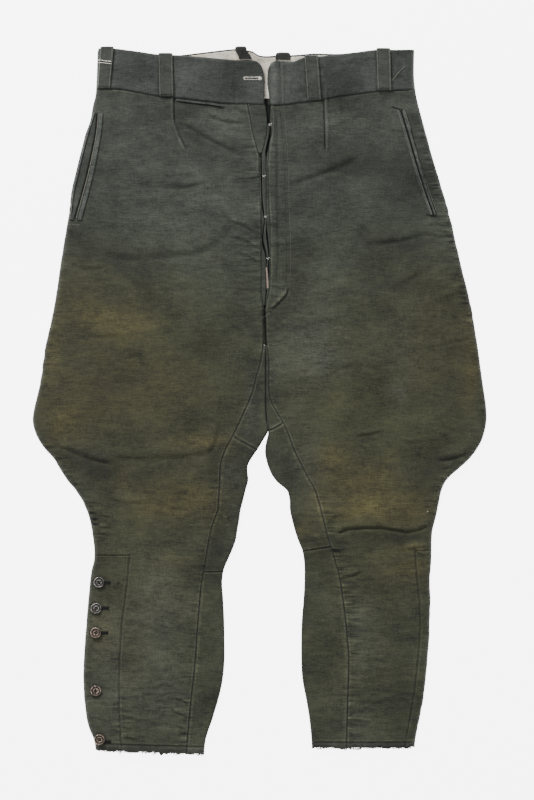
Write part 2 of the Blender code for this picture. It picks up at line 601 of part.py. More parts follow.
def top_finder(pieces):
    """Give a function that finds the highest cloth within a small reach of a point."""
    trees = [BVHTree.FromPolygons([v.co.copy() for v in piece.data.vertices],
                                  [tuple(face.vertices) for face in piece.data.polygons]) for piece in pieces]

    def cloth_top(x, y, reach=0.0):
        ways = [(0.0, 0.0)] + [(math.cos(turn * math.pi / 4.0), math.sin(turn * math.pi / 4.0))
                               for turn in range(8)]
        best = 0.0
        for dx, dy in (ways if reach else ways[:1]):
            start = Vector((x + dx * reach, y + dy * reach, 60.0)) * MM
            for tree in trees:
                hit = tree.ray_cast(start, Vector((0.0, 0.0, -1.0)))[0]
                if hit is not None:
                    best = max(best, hit.z / MM)
        return best

    return cloth_top


def strip_on(name, material, path, width, thickness, cloth_top):
    """Lay a narrow strip along a path on the cloth, its upper edges softened."""
    across = [-0.5, -0.3, 0.0, 0.3, 0.5]
    soft = [-0.35, 0.0, 0.05, 0.0, -0.35]
    dense = []
    for start, stop in zip(path, path[1:]):
        pieces = max(1, round(math.dist(start, stop) / 9.0))
        dense += [tuple(a + (b - a) * step / pieces for a, b in zip(start, stop)) for step in range(pieces)]
    dense.append(path[-1])
    outside, inside = [], []
    for index, (x, y) in enumerate(dense):
        before, after = dense[max(index - 1, 0)], dense[min(index + 1, len(dense) - 1)]
        along = Vector((after[0] - before[0], after[1] - before[1])).normalized()
        out_row, in_row = [], []
        for share, dip in zip(across, soft):
            px, py = x - along.y * width * share, y + along.x * width * share
            z = cloth_top(px, py, 2.5) + SEAM_GAP
            out_row.append(Vector((px, py, z + thickness + dip)))
            in_row.append(Vector((px, py, z)))
        outside.append(out_row)
        inside.append(in_row)
    return wall(name, material, outside, inside)


def side_welt(cloth_top):
    """Lay the right pocket's back welt between the pocket slit and the rolled side edge."""
    legs = LEGS["right"]
    slit = [(403.4, -231.4), (378.0, -237.0), (357.0, -242.0), (333.2, -247.7), (308.0, -253.2),
            (282.8, -258.8), (256.0, -262.6)]
    outside, inside = [], []
    for y in spread(slit[0][0], slit[-1][0], 18):
        near, far = between(slit, y), between(legs, y, 1) + 1.6
        out_row, in_row = [], []
        for share, dip in ((0.0, -0.3), (0.3, 0.0), (0.7, 0.0), (1.0, -0.3)):
            x = near + (far - near) * share
            z = cloth_top(x, y, 0.5) + 2.0 * SEAM_GAP
            out_row.append(Vector((x, y, z + WELT + dip)))
            in_row.append(Vector((x, y, z)))
        outside.append(out_row)
        inside.append(in_row)
    return wall("pocket_welt_back_right", "grey-green cloth", outside, inside)


def front_loop(name, x_foot, x_head, width, side, cloth_top):
    """Sew a belt loop onto a front waistband and fold it over the top edge."""
    table = [(x, foot, head) for x, foot, _, head in sorted(BANDS[side])]
    foot = between(table, x_foot, 1) + 0.6
    head = between(table, x_head, 2)
    outside, inside = [], []
    stations = [(share, None) for share in (0.0, 0.15, 0.5, 0.85, 0.97)]
    stations += [(1.0, angle) for angle in (0.0, 30.0, 60.0, 90.0)]
    turn = 2.6
    for share, angle in stations:
        y_on = foot + (head - foot) * share
        x_mid = x_foot + (x_head - x_foot) * share
        out_row, in_row = [], []
        for across, dip in ((-0.5, -0.4), (-0.38, 0.0), (0.0, 0.1), (0.38, 0.0), (0.5, -0.4)):
            x = x_mid + width * across
            y_look = min(y_on, head - 5.0)
            z = cloth_top(x, y_look, 2.0) + 2.0 * SEAM_GAP
            y = y_on
            if angle is None:
                out_row.append(Vector((x, y, z + LOOP + dip)))
                in_row.append(Vector((x, y, z)))
            else:
                bend = math.radians(angle)
                y_out = head + 0.5 + (turn - 0.5) * math.sin(bend)
                y_in = head + 0.5 + (turn - 0.5 - LOOP) * math.sin(bend)
                fall = turn * (1.0 - math.cos(bend))
                fall_in = (turn - LOOP) * (1.0 - math.cos(bend))
                out_row.append(Vector((x, y_out, z + LOOP + dip - fall)))
                in_row.append(Vector((x, y_in, z - fall_in)))
        outside.append(out_row)
        inside.append(in_row)
    return wall(name, "waistband cloth", outside, inside)


def back_loop(name, centre, width, tab_end):
    """Hook a belt loop over the back waistband: under the band, over its edge, down the lining."""
    head = between(BACK_TOP, centre) + 0.8
    for x in (centre - width / 2.0, centre + width / 2.0):
        head = max(head, between(BACK_TOP, x) + 0.8)
    top = BACK_LIFT + CLOTH + LINING + 2.0 * SEAM_GAP + SEAM_GAP
    high, reach = (top + LOOP) / 2.0, 3.0
    path = [((BACK_LOOP_FOOT, 0.0), (BACK_LOOP_FOOT, LOOP)), ((head - 20.0, 0.0), (head - 20.0, LOOP))]
    for step in range(7):
        angle = math.pi * step / 6.0
        path.append(((head + reach * math.sin(angle), high - high * math.cos(angle)),
                     (head + (reach - LOOP) * math.sin(angle), high - (high - LOOP) * math.cos(angle))))
    path.append(((tab_end, top + LOOP), (tab_end, top)))
    outside, inside = [], []
    for (y_out, z_out), (y_in, z_in) in path:
        xs = [centre + width * across for across in (-0.5, 0.0, 0.5)]
        outside.append([Vector((x, y_out, z_out)) for x in xs])
        inside.append([Vector((x, y_in, z_in)) for x in xs])
    return wall(name, "waistband cloth", outside, inside)


def panel_between(name, material, rows, height, thickness):
    """Build a small flat piece from rows of height, left edge and right edge."""
    outside, inside = [], []
    for y, left, right in rows:
        xs = spread(left, right, 4)
        outside.append([Vector((x, y, height(x, y))) for x in xs])
        inside.append([Vector((x, y, height(x, y) - thickness)) for x in xs])
    return wall(name, material, outside, inside)


def button(name, x, y, cloth_top):
    """Turn a dished metal button and set it on the cloth."""
    base = cloth_top(x, y, 5.0) + SEAM_GAP
    base = max(base, cloth_top(x, y, 7.4) + SEAM_GAP)
    shape = bmesh.new()
    rings = []
    for radius, up in BUTTON_PROFILE:
        if radius == 0.0:
            rings.append([shape.verts.new(Vector((x, y, base + up)) * MM)])
            continue
        ring = []
        for turn in range(BUTTON_SIDES):
            angle = 2.0 * math.pi * turn / BUTTON_SIDES
            at = Vector((x + radius * math.cos(angle), y + radius * math.sin(angle), base + up))
            ring.append(shape.verts.new(at * MM))
        rings.append(ring)
    for low, high in zip(rings, rings[1:]):
        for turn in range(BUTTON_SIDES):
            after = (turn + 1) % BUTTON_SIDES
            if len(low) == 1:
                shape.faces.new([low[0], high[after], high[turn]])
            elif len(high) == 1:
                shape.faces.new([low[turn], low[after], high[0]])
            else:
                shape.faces.new([low[turn], low[after], high[after], high[turn]])
    return finish_piece(name, "button metal", shape)


def main():
    for thing in list(bpy.data.objects):
        bpy.data.objects.remove(thing)

    tops = []
    for side in ("right", "left"):
        tops += cut_leg(side)
        tops.append(front_band(side))
    cloth_top = top_finder(tops)

    seam = first_row("right", ("floor", "end")) + first_row("left", ("floor", "end"))
    flat_band("waistband_back", "waistband cloth", BACK_SIDES, seam, lambda x: between(seam, x) + SEAM_GAP,
              lambda x: between(BACK_TOP, x), 0.0, CLOTH)
    flat_band("waistband_lining", "cream lining", LINING_SIDES, seam,
              lambda x: max(LINING_FOOT, between(seam, x) + 4.0),
              lambda x: between(BACK_TOP, x) - LINING_INSET, CLOTH + SEAM_GAP, LINING)

    for name, x_foot, x_head, width in FRONT_LOOPS:
        front_loop(name, x_foot, x_head, width, name.rsplit("_", 1)[1], cloth_top)
    for name, centre, width, tab_end in BACK_LOOPS:
        back_loop(name, centre, width, tab_end)

    for name, width, path in WELTS:
        strip_on(name, "grey-green cloth", path, width, WELT, cloth_top)
    side_welt(cloth_top)

    facing = [(y, between(LEGS["right"], y, 4) + 1.5 * SEAM_GAP, right) for y, right in FACING]
    panel_between("fly_facing_right", "grey-green cloth", facing,
                  lambda x, y: cloth_height(x, y, "right") - FACING_DROP, CLOTH - 0.5)
    panel_between("fly_strip_right", "binding cloth", FLY_STRIP, lambda x, y: FLY_STRIP_TOP, FLY_STRIP_WALL)

    for number, (x, y) in enumerate(BUTTONS, 1):
        button(f"calf_button_{number}", x, y, cloth_top)


main()
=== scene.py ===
# %% [markdown]
# # Uniform trousers, laid flat
# These are riding-cut uniform trousers in thick dark cloth, lying on a pale table with the front up. The
# frame holds plain closed solids for every sewn piece. This lesson dresses them: each solid gets a finer
# cloth shell of the same form, then creases, sewing, buttons, fray, worn colour and painted shade.
# Sides are named for the wearer: the right leg is at -X. Sizes are in millimetres until a mesh is made.

# %% Load the frame
import math

import bmesh
import bpy
import numpy as np
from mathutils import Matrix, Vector
from mathutils.bvhtree import BVHTree


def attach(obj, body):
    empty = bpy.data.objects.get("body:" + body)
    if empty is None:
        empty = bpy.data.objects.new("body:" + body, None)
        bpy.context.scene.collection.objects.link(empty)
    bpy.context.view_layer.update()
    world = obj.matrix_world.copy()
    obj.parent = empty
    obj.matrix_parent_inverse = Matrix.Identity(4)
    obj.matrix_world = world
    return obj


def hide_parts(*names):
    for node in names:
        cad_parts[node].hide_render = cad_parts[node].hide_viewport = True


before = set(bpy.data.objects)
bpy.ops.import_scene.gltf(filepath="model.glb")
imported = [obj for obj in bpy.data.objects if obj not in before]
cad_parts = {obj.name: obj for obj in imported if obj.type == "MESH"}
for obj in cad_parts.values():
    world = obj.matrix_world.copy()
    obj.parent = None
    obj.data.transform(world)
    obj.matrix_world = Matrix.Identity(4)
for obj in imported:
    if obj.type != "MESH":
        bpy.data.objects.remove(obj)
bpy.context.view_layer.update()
MM = 0.001

# %% [markdown]
# ## The camera
# A garment for a catalogue is shot from straight above, so that nothing is foreshortened. A long lens far
# away keeps the edges true. The picture is 534 by 800, and one of its pixels covers 1.4 mm of cloth, so the
# height of the view fixes the focal length.

# %% Camera above the table
PICTURE = (534, 800)
PIXEL = 1.4
CAMERA_HEIGHT = 3.2
CAMERA_SHIFT = (0.0100, 0.0014)
CLOTH_LEVEL = 0.006
SENSOR = 24.0
view_height = PICTURE[1] * PIXEL * MM
camera_data = bpy.data.cameras.new("camera")
camera_data.sensor_fit = "VERTICAL"
camera_data.sensor_height = SENSOR
camera_data.lens = SENSOR * CAMERA_HEIGHT / view_height
camera = bpy.data.objects.new("camera", camera_data)
camera.location = (*CAMERA_SHIFT, CAMERA_HEIGHT + CLOTH_LEVEL)
bpy.context.scene.collection.objects.link(camera)
bpy.context.scene.camera = camera
print("lens", round(camera_data.lens, 1), "mm, view", round(view_height, 3), "m high")

# %% [markdown]
# ## Table and light
# The table is a plain pale sheet. A large soft light stands beyond the waist and a little to the left, which
# is what shows the folds: a fold is bright on the side toward the waist and dark below. A second light from
# above keeps the shadows open. The table itself glows a little, as a light table does, so that the cloth has
# almost no shadow round it.

# %% Table, lights and sky
FLOOR_COLOUR = (0.92, 0.92, 0.92, 1.0)
TABLE_GLOW = 6.5
LIGHTS = [
    # name, place, size, power
    ("main_light", (-1.1, 2.7, 1.45), 0.9, 118.0),
    ("top_light", (0.5, -0.6, 3.4), 2.4, 42.0),
]
SKY = (0.93, 0.95, 1.0, 1.0)
SKY_STRENGTH = 0.30

TABLE_REACH = 6.0
TABLE_ROUGHNESS = 0.9

table_mesh = bpy.data.meshes.new("table")
corners = [(TABLE_REACH * x, TABLE_REACH * y, 0.0) for x, y in ((-1, -1), (1, -1), (1, 1), (-1, 1))]
table_mesh.from_pydata(corners, [], [(0, 1, 2, 3)])
table = bpy.data.objects.new("table", table_mesh)
bpy.context.scene.collection.objects.link(table)
table_look = bpy.data.materials.new("table paint")
table_look.use_nodes = True
table_shader = table_look.node_tree.nodes["Principled BSDF"]
table_shader.inputs["Base Color"].default_value = FLOOR_COLOUR
table_shader.inputs["Roughness"].default_value = TABLE_ROUGHNESS
table_shader.inputs["Emission Color"].default_value = FLOOR_COLOUR
table_shader.inputs["Emission Strength"].default_value = TABLE_GLOW
table_mesh.materials.append(table_look)

for name, place, size, power in LIGHTS:
    lamp = bpy.data.lights.new(name, "AREA")
    lamp.size = size
    lamp.energy = power
    holder = bpy.data.objects.new(name, lamp)
    holder.location = place
    holder.rotation_euler = (-Vector(place)).to_track_quat("-Z", "Y").to_euler()
    bpy.context.scene.collection.objects.link(holder)

sky = bpy.data.worlds.new("sky")
sky.use_nodes = True
sky.node_tree.nodes["Background"].inputs["Color"].default_value = SKY
sky.node_tree.nodes["Background"].inputs["Strength"].default_value = SKY_STRENGTH
bpy.context.scene.world = sky
print("table and", len(LIGHTS), "lights")

# %% [markdown]
# ## The cut of the trousers
# A pattern cutter works from a few curves: the side edge, the seams and the inner edge of each leg. The same
# curves shape the solids, so they are written here again as a table, one row for each height above the
# middle. Smooth curves through the rows give any place between them.

# %% Pattern tables
LEGS = {
    # y, outer edge, side seam, tuck line, front panel's inner edge, leg's inner edge
    "right": [
        (497.0, -223.3, -178.5, -119.7, -16.8, 8.5),
        (491.4, -225.3, -178.7, -119.7, -16.8, 8.5),
        (477.4, -226.1, -179.2, -119.7, -16.8, 8.5),
        (443.8, -227.5, -180.3, -119.7, -16.8, 8.5),
        (427.0, -228.9, -180.9, -119.7, -16.8, 8.5),
        (415.1, -232.0, -181.4, -119.4, -16.8, 8.5),
        (393.4, -235.9, -184.8, -118.7, -12.7, 8.5),
        (373.8, -242.9, -187.9, -113.4, -9.2, 8.5),
        (358.4, -246.9, -190.4, -105.6, -5.2, 8.5),
        (344.4, -250.5, -192.6, -101.1, -1.1, 8.5),
        (320.6, -256.3, -196.3, -100.0, 0.1, 8.5),
        (296.8, -261.9, -200.1, -98.8, 1.4, 8.5),
        (267.4, -265.4, -204.9, -97.3, 2.1, 8.5),
        (225.4, -272.3, -211.8, -99.6, 2.1, 8.5),
        (183.4, -279.0, -218.0, -102.0, 2.1, 8.5),
        (155.4, -282.9, -221.5, -103.5, 2.1, 8.5),
        (130.2, -287.1, -224.7, -105.7, 4.3, 8.5),
        (113.4, -290.5, -226.8, -107.8, 4.3, 8.5),
        (78.4, -298.3, -230.7, -112.2, 4.3, 8.1),
        (64.4, -300.6, -231.6, -113.9, 2.9, 8.1),
        (29.4, -305.9, -233.8, -118.3, -6.1, 8.2),
        (9.8, -309.8, -235.0, -120.7, -11.2, 8.2),
        (-12.6, -315.1, -236.4, -123.5, -20.8, 8.3),
        (-26.6, -316.8, -237.3, -125.3, -27.0, 9.2),
        (-40.6, -314.3, -232.0, -124.9, -33.7, 10.8),
        (-54.6, -308.1, -226.8, -124.6, -41.0, 3.5),
        (-68.6, -298.2, -221.5, -124.2, -48.3, -4.9),
        (-82.6, -285.6, -216.3, -123.9, -53.3, -14.4),
        (-89.6, -281.4, -213.1, -123.7, -55.0, -17.8),
        (-96.6, -277.2, -210.0, -123.5, -55.4, -18.6),
        (-110.6, -268.1, -203.7, -123.2, -56.0, -17.5),
        (-124.6, -256.9, -197.4, -122.8, -56.7, -21.1),
        (-138.6, -247.7, -191.1, -122.5, -57.7, -24.5),
        (-152.6, -241.1, -188.8, -123.0, -58.6, -28.1),
        (-166.6, -236.5, -186.5, -123.4, -63.8, -30.1),
        (-180.6, -233.8, -184.2, -123.9, -68.3, -32.6),
        (-194.6, -231.7, -181.9, -124.4, -71.0, -34.9),
        (-208.6, -230.3, -181.9, -124.8, -73.4, -39.9),
        (-222.6, -230.6, -182.4, -125.3, -75.5, -46.1),
        (-236.6, -233.9, -183.8, -126.7, -78.2, -51.7),
        (-250.6, -235.9, -185.1, -128.1, -80.9, -53.9),
        (-278.6, -238.7, -188.3, -130.9, -83.9, -52.5),
        (-312.2, -241.6, -192.9, -134.3, -86.7, -51.0),
        (-334.6, -243.2, -194.3, -136.5, -88.3, -50.7),
        (-362.6, -245.0, -196.1, -137.5, -90.3, -50.7),
        (-390.6, -245.7, -196.7, -138.5, -93.0, -53.3),
        (-418.6, -244.3, -196.7, -139.5, -96.2, -59.5),
        (-432.6, -242.9, -196.5, -140.0, -97.7, -63.7),
        (-446.6, -240.9, -195.7, -140.5, -98.9, -67.9),
        (-460.6, -237.0, -195.0, -141.0, -100.2, -72.9),
        (-474.6, -231.0, -194.2, -141.5, -101.4, -77.0),
        (-491.4, -228.1, -193.5, -142.1, -102.9, -79.1),
    ],
    "left": [
        (497.0, 214.6, 163.1, 87.5, 15.4, 8.5),
        (443.8, 215.2, 166.8, 89.0, 15.1, 8.5),
        (427.0, 217.7, 167.9, 89.5, 15.0, 8.5),
        (414.4, 220.6, 169.0, 89.9, 15.0, 8.5),
        (387.8, 227.6, 175.0, 90.7, 14.1, 8.5),
        (379.4, 229.8, 176.8, 91.2, 15.8, 8.5),
        (357.0, 235.9, 181.9, 92.6, 12.6, 8.5),
        (330.4, 243.6, 187.8, 94.4, 11.2, 8.5),
        (309.4, 249.9, 192.5, 95.9, 11.5, 8.5),
        (281.4, 258.3, 197.8, 97.8, 11.9, 8.5),
        (245.0, 267.7, 204.6, 100.7, 14.0, 8.5),
        (218.4, 273.8, 209.6, 103.1, 14.2, 8.5),
        (183.4, 282.0, 215.6, 106.2, 14.4, 8.5),
        (155.4, 289.0, 219.8, 108.7, 12.9, 8.5),
        (134.4, 293.8, 222.9, 110.6, 8.5, 8.5),
        (106.4, 298.7, 227.1, 113.4, 8.5, 8.5),
        (78.4, 303.2, 230.7, 116.2, 9.8, 9.0),
        (57.4, 306.2, 232.0, 118.3, 12.4, 9.0),
        (29.4, 310.1, 233.8, 121.1, 12.6, 9.1),
        (8.4, 313.2, 235.1, 123.2, 13.8, 9.2),
        (-5.0, 315.1, 236.0, 124.5, 17.8, 9.2),
        (-16.1, 316.0, 236.6, 125.6, 24.1, 9.3),
        (-26.6, 316.0, 237.3, 126.7, 30.6, 10.2),
        (-37.8, 314.4, 235.1, 129.8, 36.3, 12.7),
        (-46.2, 312.2, 233.4, 132.1, 39.7, 12.7),
        (-54.6, 309.5, 231.7, 134.4, 43.0, 10.8),
        (-68.6, 301.7, 228.9, 138.2, 48.2, 8.3),
        (-82.6, 290.5, 226.1, 142.1, 54.8, 10.2),
        (-96.6, 275.1, 223.3, 145.9, 62.2, 14.7),
        (-105.0, 265.3, 221.6, 148.3, 66.6, 18.9),
        (-113.4, 258.3, 219.9, 150.6, 71.2, 25.3),
        (-124.6, 253.3, 217.7, 153.6, 77.3, 38.5),
        (-138.6, 249.9, 214.9, 157.5, 81.9, 42.7),
        (-152.6, 247.1, 215.7, 159.4, 85.6, 43.3),
        (-166.6, 244.0, 216.4, 161.2, 89.2, 46.3),
        (-180.6, 240.4, 217.2, 163.1, 92.7, 50.0),
        (-194.6, 239.1, 218.0, 165.0, 96.7, 54.5),
        (-208.6, 238.9, 218.2, 166.8, 100.9, 60.3),
        (-222.6, 238.7, 218.4, 168.7, 105.0, 62.9),
        (-250.6, 236.5, 220.7, 170.1, 112.4, 63.7),
        (-278.6, 237.3, 223.7, 171.5, 116.6, 62.3),
        (-308.0, 236.3, 224.9, 173.0, 120.3, 59.9),
        (-334.6, 235.5, 224.1, 174.3, 122.7, 59.2),
        (-351.4, 234.2, 222.8, 173.4, 124.2, 59.1),
        (-390.6, 230.6, 218.8, 171.2, 124.2, 60.9),
        (-418.6, 227.1, 215.2, 169.7, 123.2, 66.2),
        (-446.6, 221.9, 210.1, 168.2, 122.3, 70.7),
        (-474.6, 216.3, 204.8, 166.7, 121.5, 73.5),
        (-488.6, 214.9, 203.7, 165.9, 121.1, 74.3),
    ],
}
LINE_NAMES = ("outer", "side", "tuck", "front", "inner")

WAIST_SEAM = {
    "right": [(-227.5, 438.2), (-193.9, 436.8), (-142.1, 427.0), (-121.1, 425.0), (-48.3, 416.5),
              (6.3, 415.5)],
    "left": [(14.7, 414.7), (28.7, 414.4), (64.4, 418.6), (84.7, 422.0), (116.9, 427.6), (165.9, 434.0),
             (216.3, 436.8)],
}

# Parts down each leg: where a part starts, its name
PARTS = {
    "right": [(415.2, "thigh"), (78.4, "crotch"), (-67.05, "gusset seam"), (-67.35, "knee"),
              (-216.85, "placket seam"), (-217.15, "upper calf"), (-239.25, "patch seam"), (-239.55, "calf"),
              (-482.15, "hem seam"), (-482.45, "hem"), (-492.1, "end")],
    "left": [(415.0, "thigh"), (78.4, "crotch"), (-40.45, "gusset seam"), (-40.75, "knee"),
             (-209.85, "patch seam"), (-210.15, "calf"), (-477.95, "hem seam"), (-478.25, "hem"),
             (-485.8, "end")],
}
CROSS_CLIMB = {
    "right": [(78.4, 0.0), (-67.2, 22.4), (-140.0, 0.0)],
    "left": [(20.0, 0.0), (-40.6, 11.8), (-90.0, 0.0), (-160.0, 0.0), (-210.0, 7.0), (-250.0, 0.0)],
}


def table_curve(table, column):
    """Give a smooth curve through one column of a table."""
    rows = sorted(table)
    keys = np.array([row[0] for row in rows])
    values = np.array([row[column] for row in rows])
    slopes = np.gradient(values, keys)

    def curve(at):
        at = np.clip(at, keys[0], keys[-1])
        cell = np.clip(np.searchsorted(keys, at) - 1, 0, len(keys) - 2)
        step = keys[cell + 1] - keys[cell]
        t = (at - keys[cell]) / step
        return ((1 + 2 * t) * (1 - t) ** 2 * values[cell] + t * (1 - t) ** 2 * step * slopes[cell]
                + t * t * (3 - 2 * t) * values[cell + 1] + t * t * (t - 1) * step * slopes[cell + 1])

    return curve


def straight(table, at, column=1):
    """Read a column of a table, straight between its rows."""
    rows = sorted(table)
    return np.interp(at, [row[0] for row in rows], [row[column] for row in rows])


LINES = {side: {name: table_curve(table, number + 1) for number, name in enumerate(LINE_NAMES)}
         for side, table in LEGS.items()}
HIP_Y = -26.6
for side in LINES:
    print(side, "leg:", len(LEGS[side]), "rows, hip edge at", round(float(LINES[side]["outer"](HIP_Y)), 1))

# %% [markdown]
# ## Soft noise
# Real cloth is never even. Two small noise functions, one along a line and one over an area, give all the
# unevenness below. Each has its own seed, so every run makes the same trousers.

# %% Ripple and cloud
RIPPLE_KNOTS = 1024
CLOUD_KNOTS = 128


def ease(share):
    """Ease from 0 to 1."""
    share = np.clip(share, 0.0, 1.0)
    return share * share * (3.0 - 2.0 * share)


def bell(away, width):
    """Give a smooth hump: 1 at no distance, fading over a width."""
    return np.exp(-(away / width) ** 2)


def ripple(at, seed):
    """Noise along a line, between -1 and 1, with one swing for about each unit."""
    knots = np.random.default_rng(seed).uniform(-1.0, 1.0, RIPPLE_KNOTS)
    cell = np.floor(at).astype(int)
    share = ease(at - cell)
    return knots[cell % RIPPLE_KNOTS] * (1.0 - share) + knots[(cell + 1) % RIPPLE_KNOTS] * share


def cloud(x, y, seed):
    """Noise over an area, between -1 and 1, with one lump for about each unit."""
    knots = np.random.default_rng(seed).uniform(-1.0, 1.0, (CLOUD_KNOTS, CLOUD_KNOTS))
    column, row = np.floor(x).astype(int), np.floor(y).astype(int)
    across, up = ease(x - column), ease(y - row)
    left, right = column % CLOUD_KNOTS, (column + 1) % CLOUD_KNOTS
    low, high = (knots[at, left] * (1 - across) + knots[at, right] * across
                 for at in (row % CLOUD_KNOTS, (row + 1) % CLOUD_KNOTS))
    return low * (1 - up) + high * up


def grid(x, y, z):
    """Join arrays of x, y and z into one array of points."""
    return np.stack(np.broadcast_arrays(x, y, z), -1)


print("a ripple:", np.round(ripple(np.arange(0.0, 2.0, 0.5), 1), 2))

# %% [markdown]
# ## How the cloth lies
# The top layer is low along its edges, where the cloth turns over, and puffs up a little between them. On
# that lie the creases: each is a path with a ridge on its left and a trough along it. Near seams the thread
# pulls the cloth into short puckers, which fade away from the seam. Every fold here was placed from what the
# real pair shows, and none has quite the size of its neighbour.

# %% Sizes of the cloth
CLOTH = 2.0
BAND = 3.0
LINING = 1.0
LOOP = 1.5
WELT = 1.2
SEAM_GAP = 0.3
EDGE_TOP = 5.2
PUFF = 2.3
PUFF_REACH = 48.0
BAND_RISE = 1.4
OUTER_ROLL = 5.0
INNER_ROLL = 2.4
FLOOR_CLEAR = 3.4
FORK_Y = 78.4
FORK_BLEND = 50.0
WAIST_FADE = 85.0
HEM_FADE = 60.0
HEM_Y = -492.0
LEG_MIDDLE_X = -153.0
HEM_TILT = 0.037
INWARD = {"right": 1.0, "left": -1.0}
CREASE_DEPTH = 1.6
PUCKER_DEPTH = 1.9
PUCKER_END = 15.0
NOTCH_DEPTH = 1.3
LOWEST_TOP = 4.25
OUTER_SWELL = 2.0
INNER_SWELL = 1.3

# %% Creases: ridge height, trough depth, width, path
CREASES = {
    "right": [
        (1.2, 2.0, 2.6, [(-102, 350), (-112, 370), (-119, 391), (-120, 423), (-120, 449)]),
        (1.0, 1.4, 7, [(-282, -64), (-262, -71), (-243, -80), (-223, -85), (-204, -90)]),
        (1.1, 0.8, 11, [(-205, -83), (-153, -83), (-111, -81), (-83, -77), (-66, -67)]),
        (1.0, 0.9, 7, [(-75, -80), (-64, -66), (-58, -49), (-57, -29)]),
        (0.8, 0.7, 4.5, [(-232, -158), (-219, -162), (-205, -165)]),
        (0.8, 0.8, 4, [(-230, -168), (-214, -172)]),
        (0.8, 0.8, 3.5, [(-230, -176), (-211, -179)]),
        (0.8, 0.8, 3.5, [(-229, -185), (-212, -189)]),
        (0.7, 0.7, 3.5, [(-228, -193), (-214, -196)]),
        (0.7, 0.5, 6, [(-212, -139), (-188, -144), (-153, -144)]),
        (0.8, 1.0, 7, [(-116, 388), (-97, 381), (-75, 367), (-55, 357), (-26, 343)]),
        (1.0, 0.9, 5.5, [(-79, 403), (-64, 395), (-44, 389), (-19, 388)]),
        (0.6, 0.5, 4, [(-38, 410), (-27, 405), (-13, 400)]),
        (0.6, 0.8, 6, [(-134, 298), (-108, 298), (-74, 304)]),
        (0.7, 0.7, 4.5, [(-47, 252), (-23, 245), (-2, 231)]),
        (0.7, 0.7, 4.5, [(-41, 230), (-19, 223), (-1, 209)]),
        (0.6, 0.6, 4, [(-33, 206), (-16, 202), (1, 189)]),
        (0.8, 0.8, 12, [(-218, 203), (-181, 196), (-150, 200), (-97, 203), (-62, 217), (-27, 248)]),
        (0.5, 0.5, 14, [(-206, 189), (-167, 155), (-128, 125)]),
        (0.9, 0.7, 3.2, [(-37, -182), (-43, -167), (-47, -154)]),
        (0.6, 0.6, 4.5, [(-197, -441), (-181, -445), (-164, -449)]),
        (0.6, 0.6, 4, [(-195, -458), (-176, -462)]),
        (0.7, 0.7, 4, [(-195, -469), (-170, -476)]),
        (0.8, 0.8, 4, [(-122, -417), (-111, -420), (-97, -426)]),
        (0.9, 0.9, 4, [(-125, -434), (-113, -438), (-99, -444)]),
        (0.8, 0.8, 4, [(-120, -455), (-100, -462)]),
        (0.5, 0.5, 4, [(-240, -419), (-222, -427)]),
        (0.5, 0.6, 4, [(-240, -441), (-216, -449)]),
        (0.5, 0.5, 5, [(-153, -405), (-134, -399), (-114, -405)]),
        (0.6, 0.5, 7, [(-254, 99), (-229, 88), (-195, 91)]),
        (0.5, 0.6, 6, [(-271, 195), (-246, 183), (-215, 186)]),
        (0.5, 0.4, 5, [(-103, -195), (-89, -202), (-75, -206)]),
        (0.5, 0.5, 6, [(-75, -105), (-89, -97), (-103, -85)]),
    ],
    "left": [
        (1.2, 2.2, 2.6, [(90, 444), (90, 420), (91, 388), (92, 349)]),
        (0.8, 1.7, 5.0, [(108, -187), (122, -180), (146, -178), (169, -178),
                         (186, -181), (204, -184), (221, -181), (240, -174)]),
        (0.6, 1.0, 4.8, [(25, 165), (26, 211), (25, 281), (25, 340), (24, 405)]),
        (1.3, 1.7, 2.6, [(16, 127), (18, 129), (27, 137), (34, 145), (38, 150), (40, 160)]),
        (1.5, 1.8, 6.5, [(247, -85), (267, -81), (284, -76), (300, -69)]),
        (0.9, 1.2, 4.5, [(253, -98), (264, -92), (275, -92)]),
        (0.6, 1.0, 4, [(134, -50), (152, -48), (173, -42)]),
        (0.8, 0.9, 8, [(152, 217), (197, 223), (250, 237)]),
        (0.6, 0.8, 7.5, [(180, 151), (208, 167), (236, 185)]),
        (0.8, 1.1, 9, [(41, 301), (71, 311), (102, 322), (142, 340)]),
        (0.8, 1.1, 4, [(113, -248), (130, -245), (145, -238)]),
        (1.0, 1.1, 4.5, [(55, -199), (74, -196), (92, -189)]),
        (0.7, 0.5, 4, [(202, -209), (219, -206), (239, -204)]),
        (0.35, 0.15, 1.6, [(113, -48), (141, -62), (172, -75)]),
        (0.35, 0.15, 1.6, [(211, 22), (198, 55), (185, 88)]),
        (0.6, 0.5, 6, [(100, 374), (111, 386), (130, 392)]),
        (0.7, 0.7, 4, [(228, 244), (239, 246), (250, 253)]),
        (0.6, 0.7, 4, [(230, 231), (244, 231), (258, 228)]),
        (0.6, 0.6, 4, [(214, -206), (225, -217), (237, -218)]),
        (0.6, 0.6, 4, [(222, -231), (239, -234)]),
        (0.5, 0.6, 5, [(103, -202), (116, -199), (130, -203)]),
        (0.6, 0.7, 5, [(96, -167), (110, -162), (127, -165)]),
        (0.5, 0.5, 7, [(57, 99), (85, 111), (116, 105)]),
        (0.5, 0.5, 9, [(99, 41), (135, 49), (174, 41)]),
        (0.5, 0.6, 6, [(253, 141), (272, 147), (289, 155)]),
        (0.6, 0.6, 6, [(261, 80), (281, 83), (300, 91)]),
        (0.5, 0.5, 5, [(141, -368), (160, -363), (180, -368)]),
        (0.5, 0.5, 5, [(135, -419), (158, -424), (186, -419)]),
        (0.6, 0.5, 5, [(37, -83), (46, -71), (57, -67)]),
        (0.6, 0.6, 5, [(40, -167), (54, -161), (68, -164)]),
        (0.5, 0.6, 5, [(194, -55), (214, -60), (236, -56)]),
    ],
}

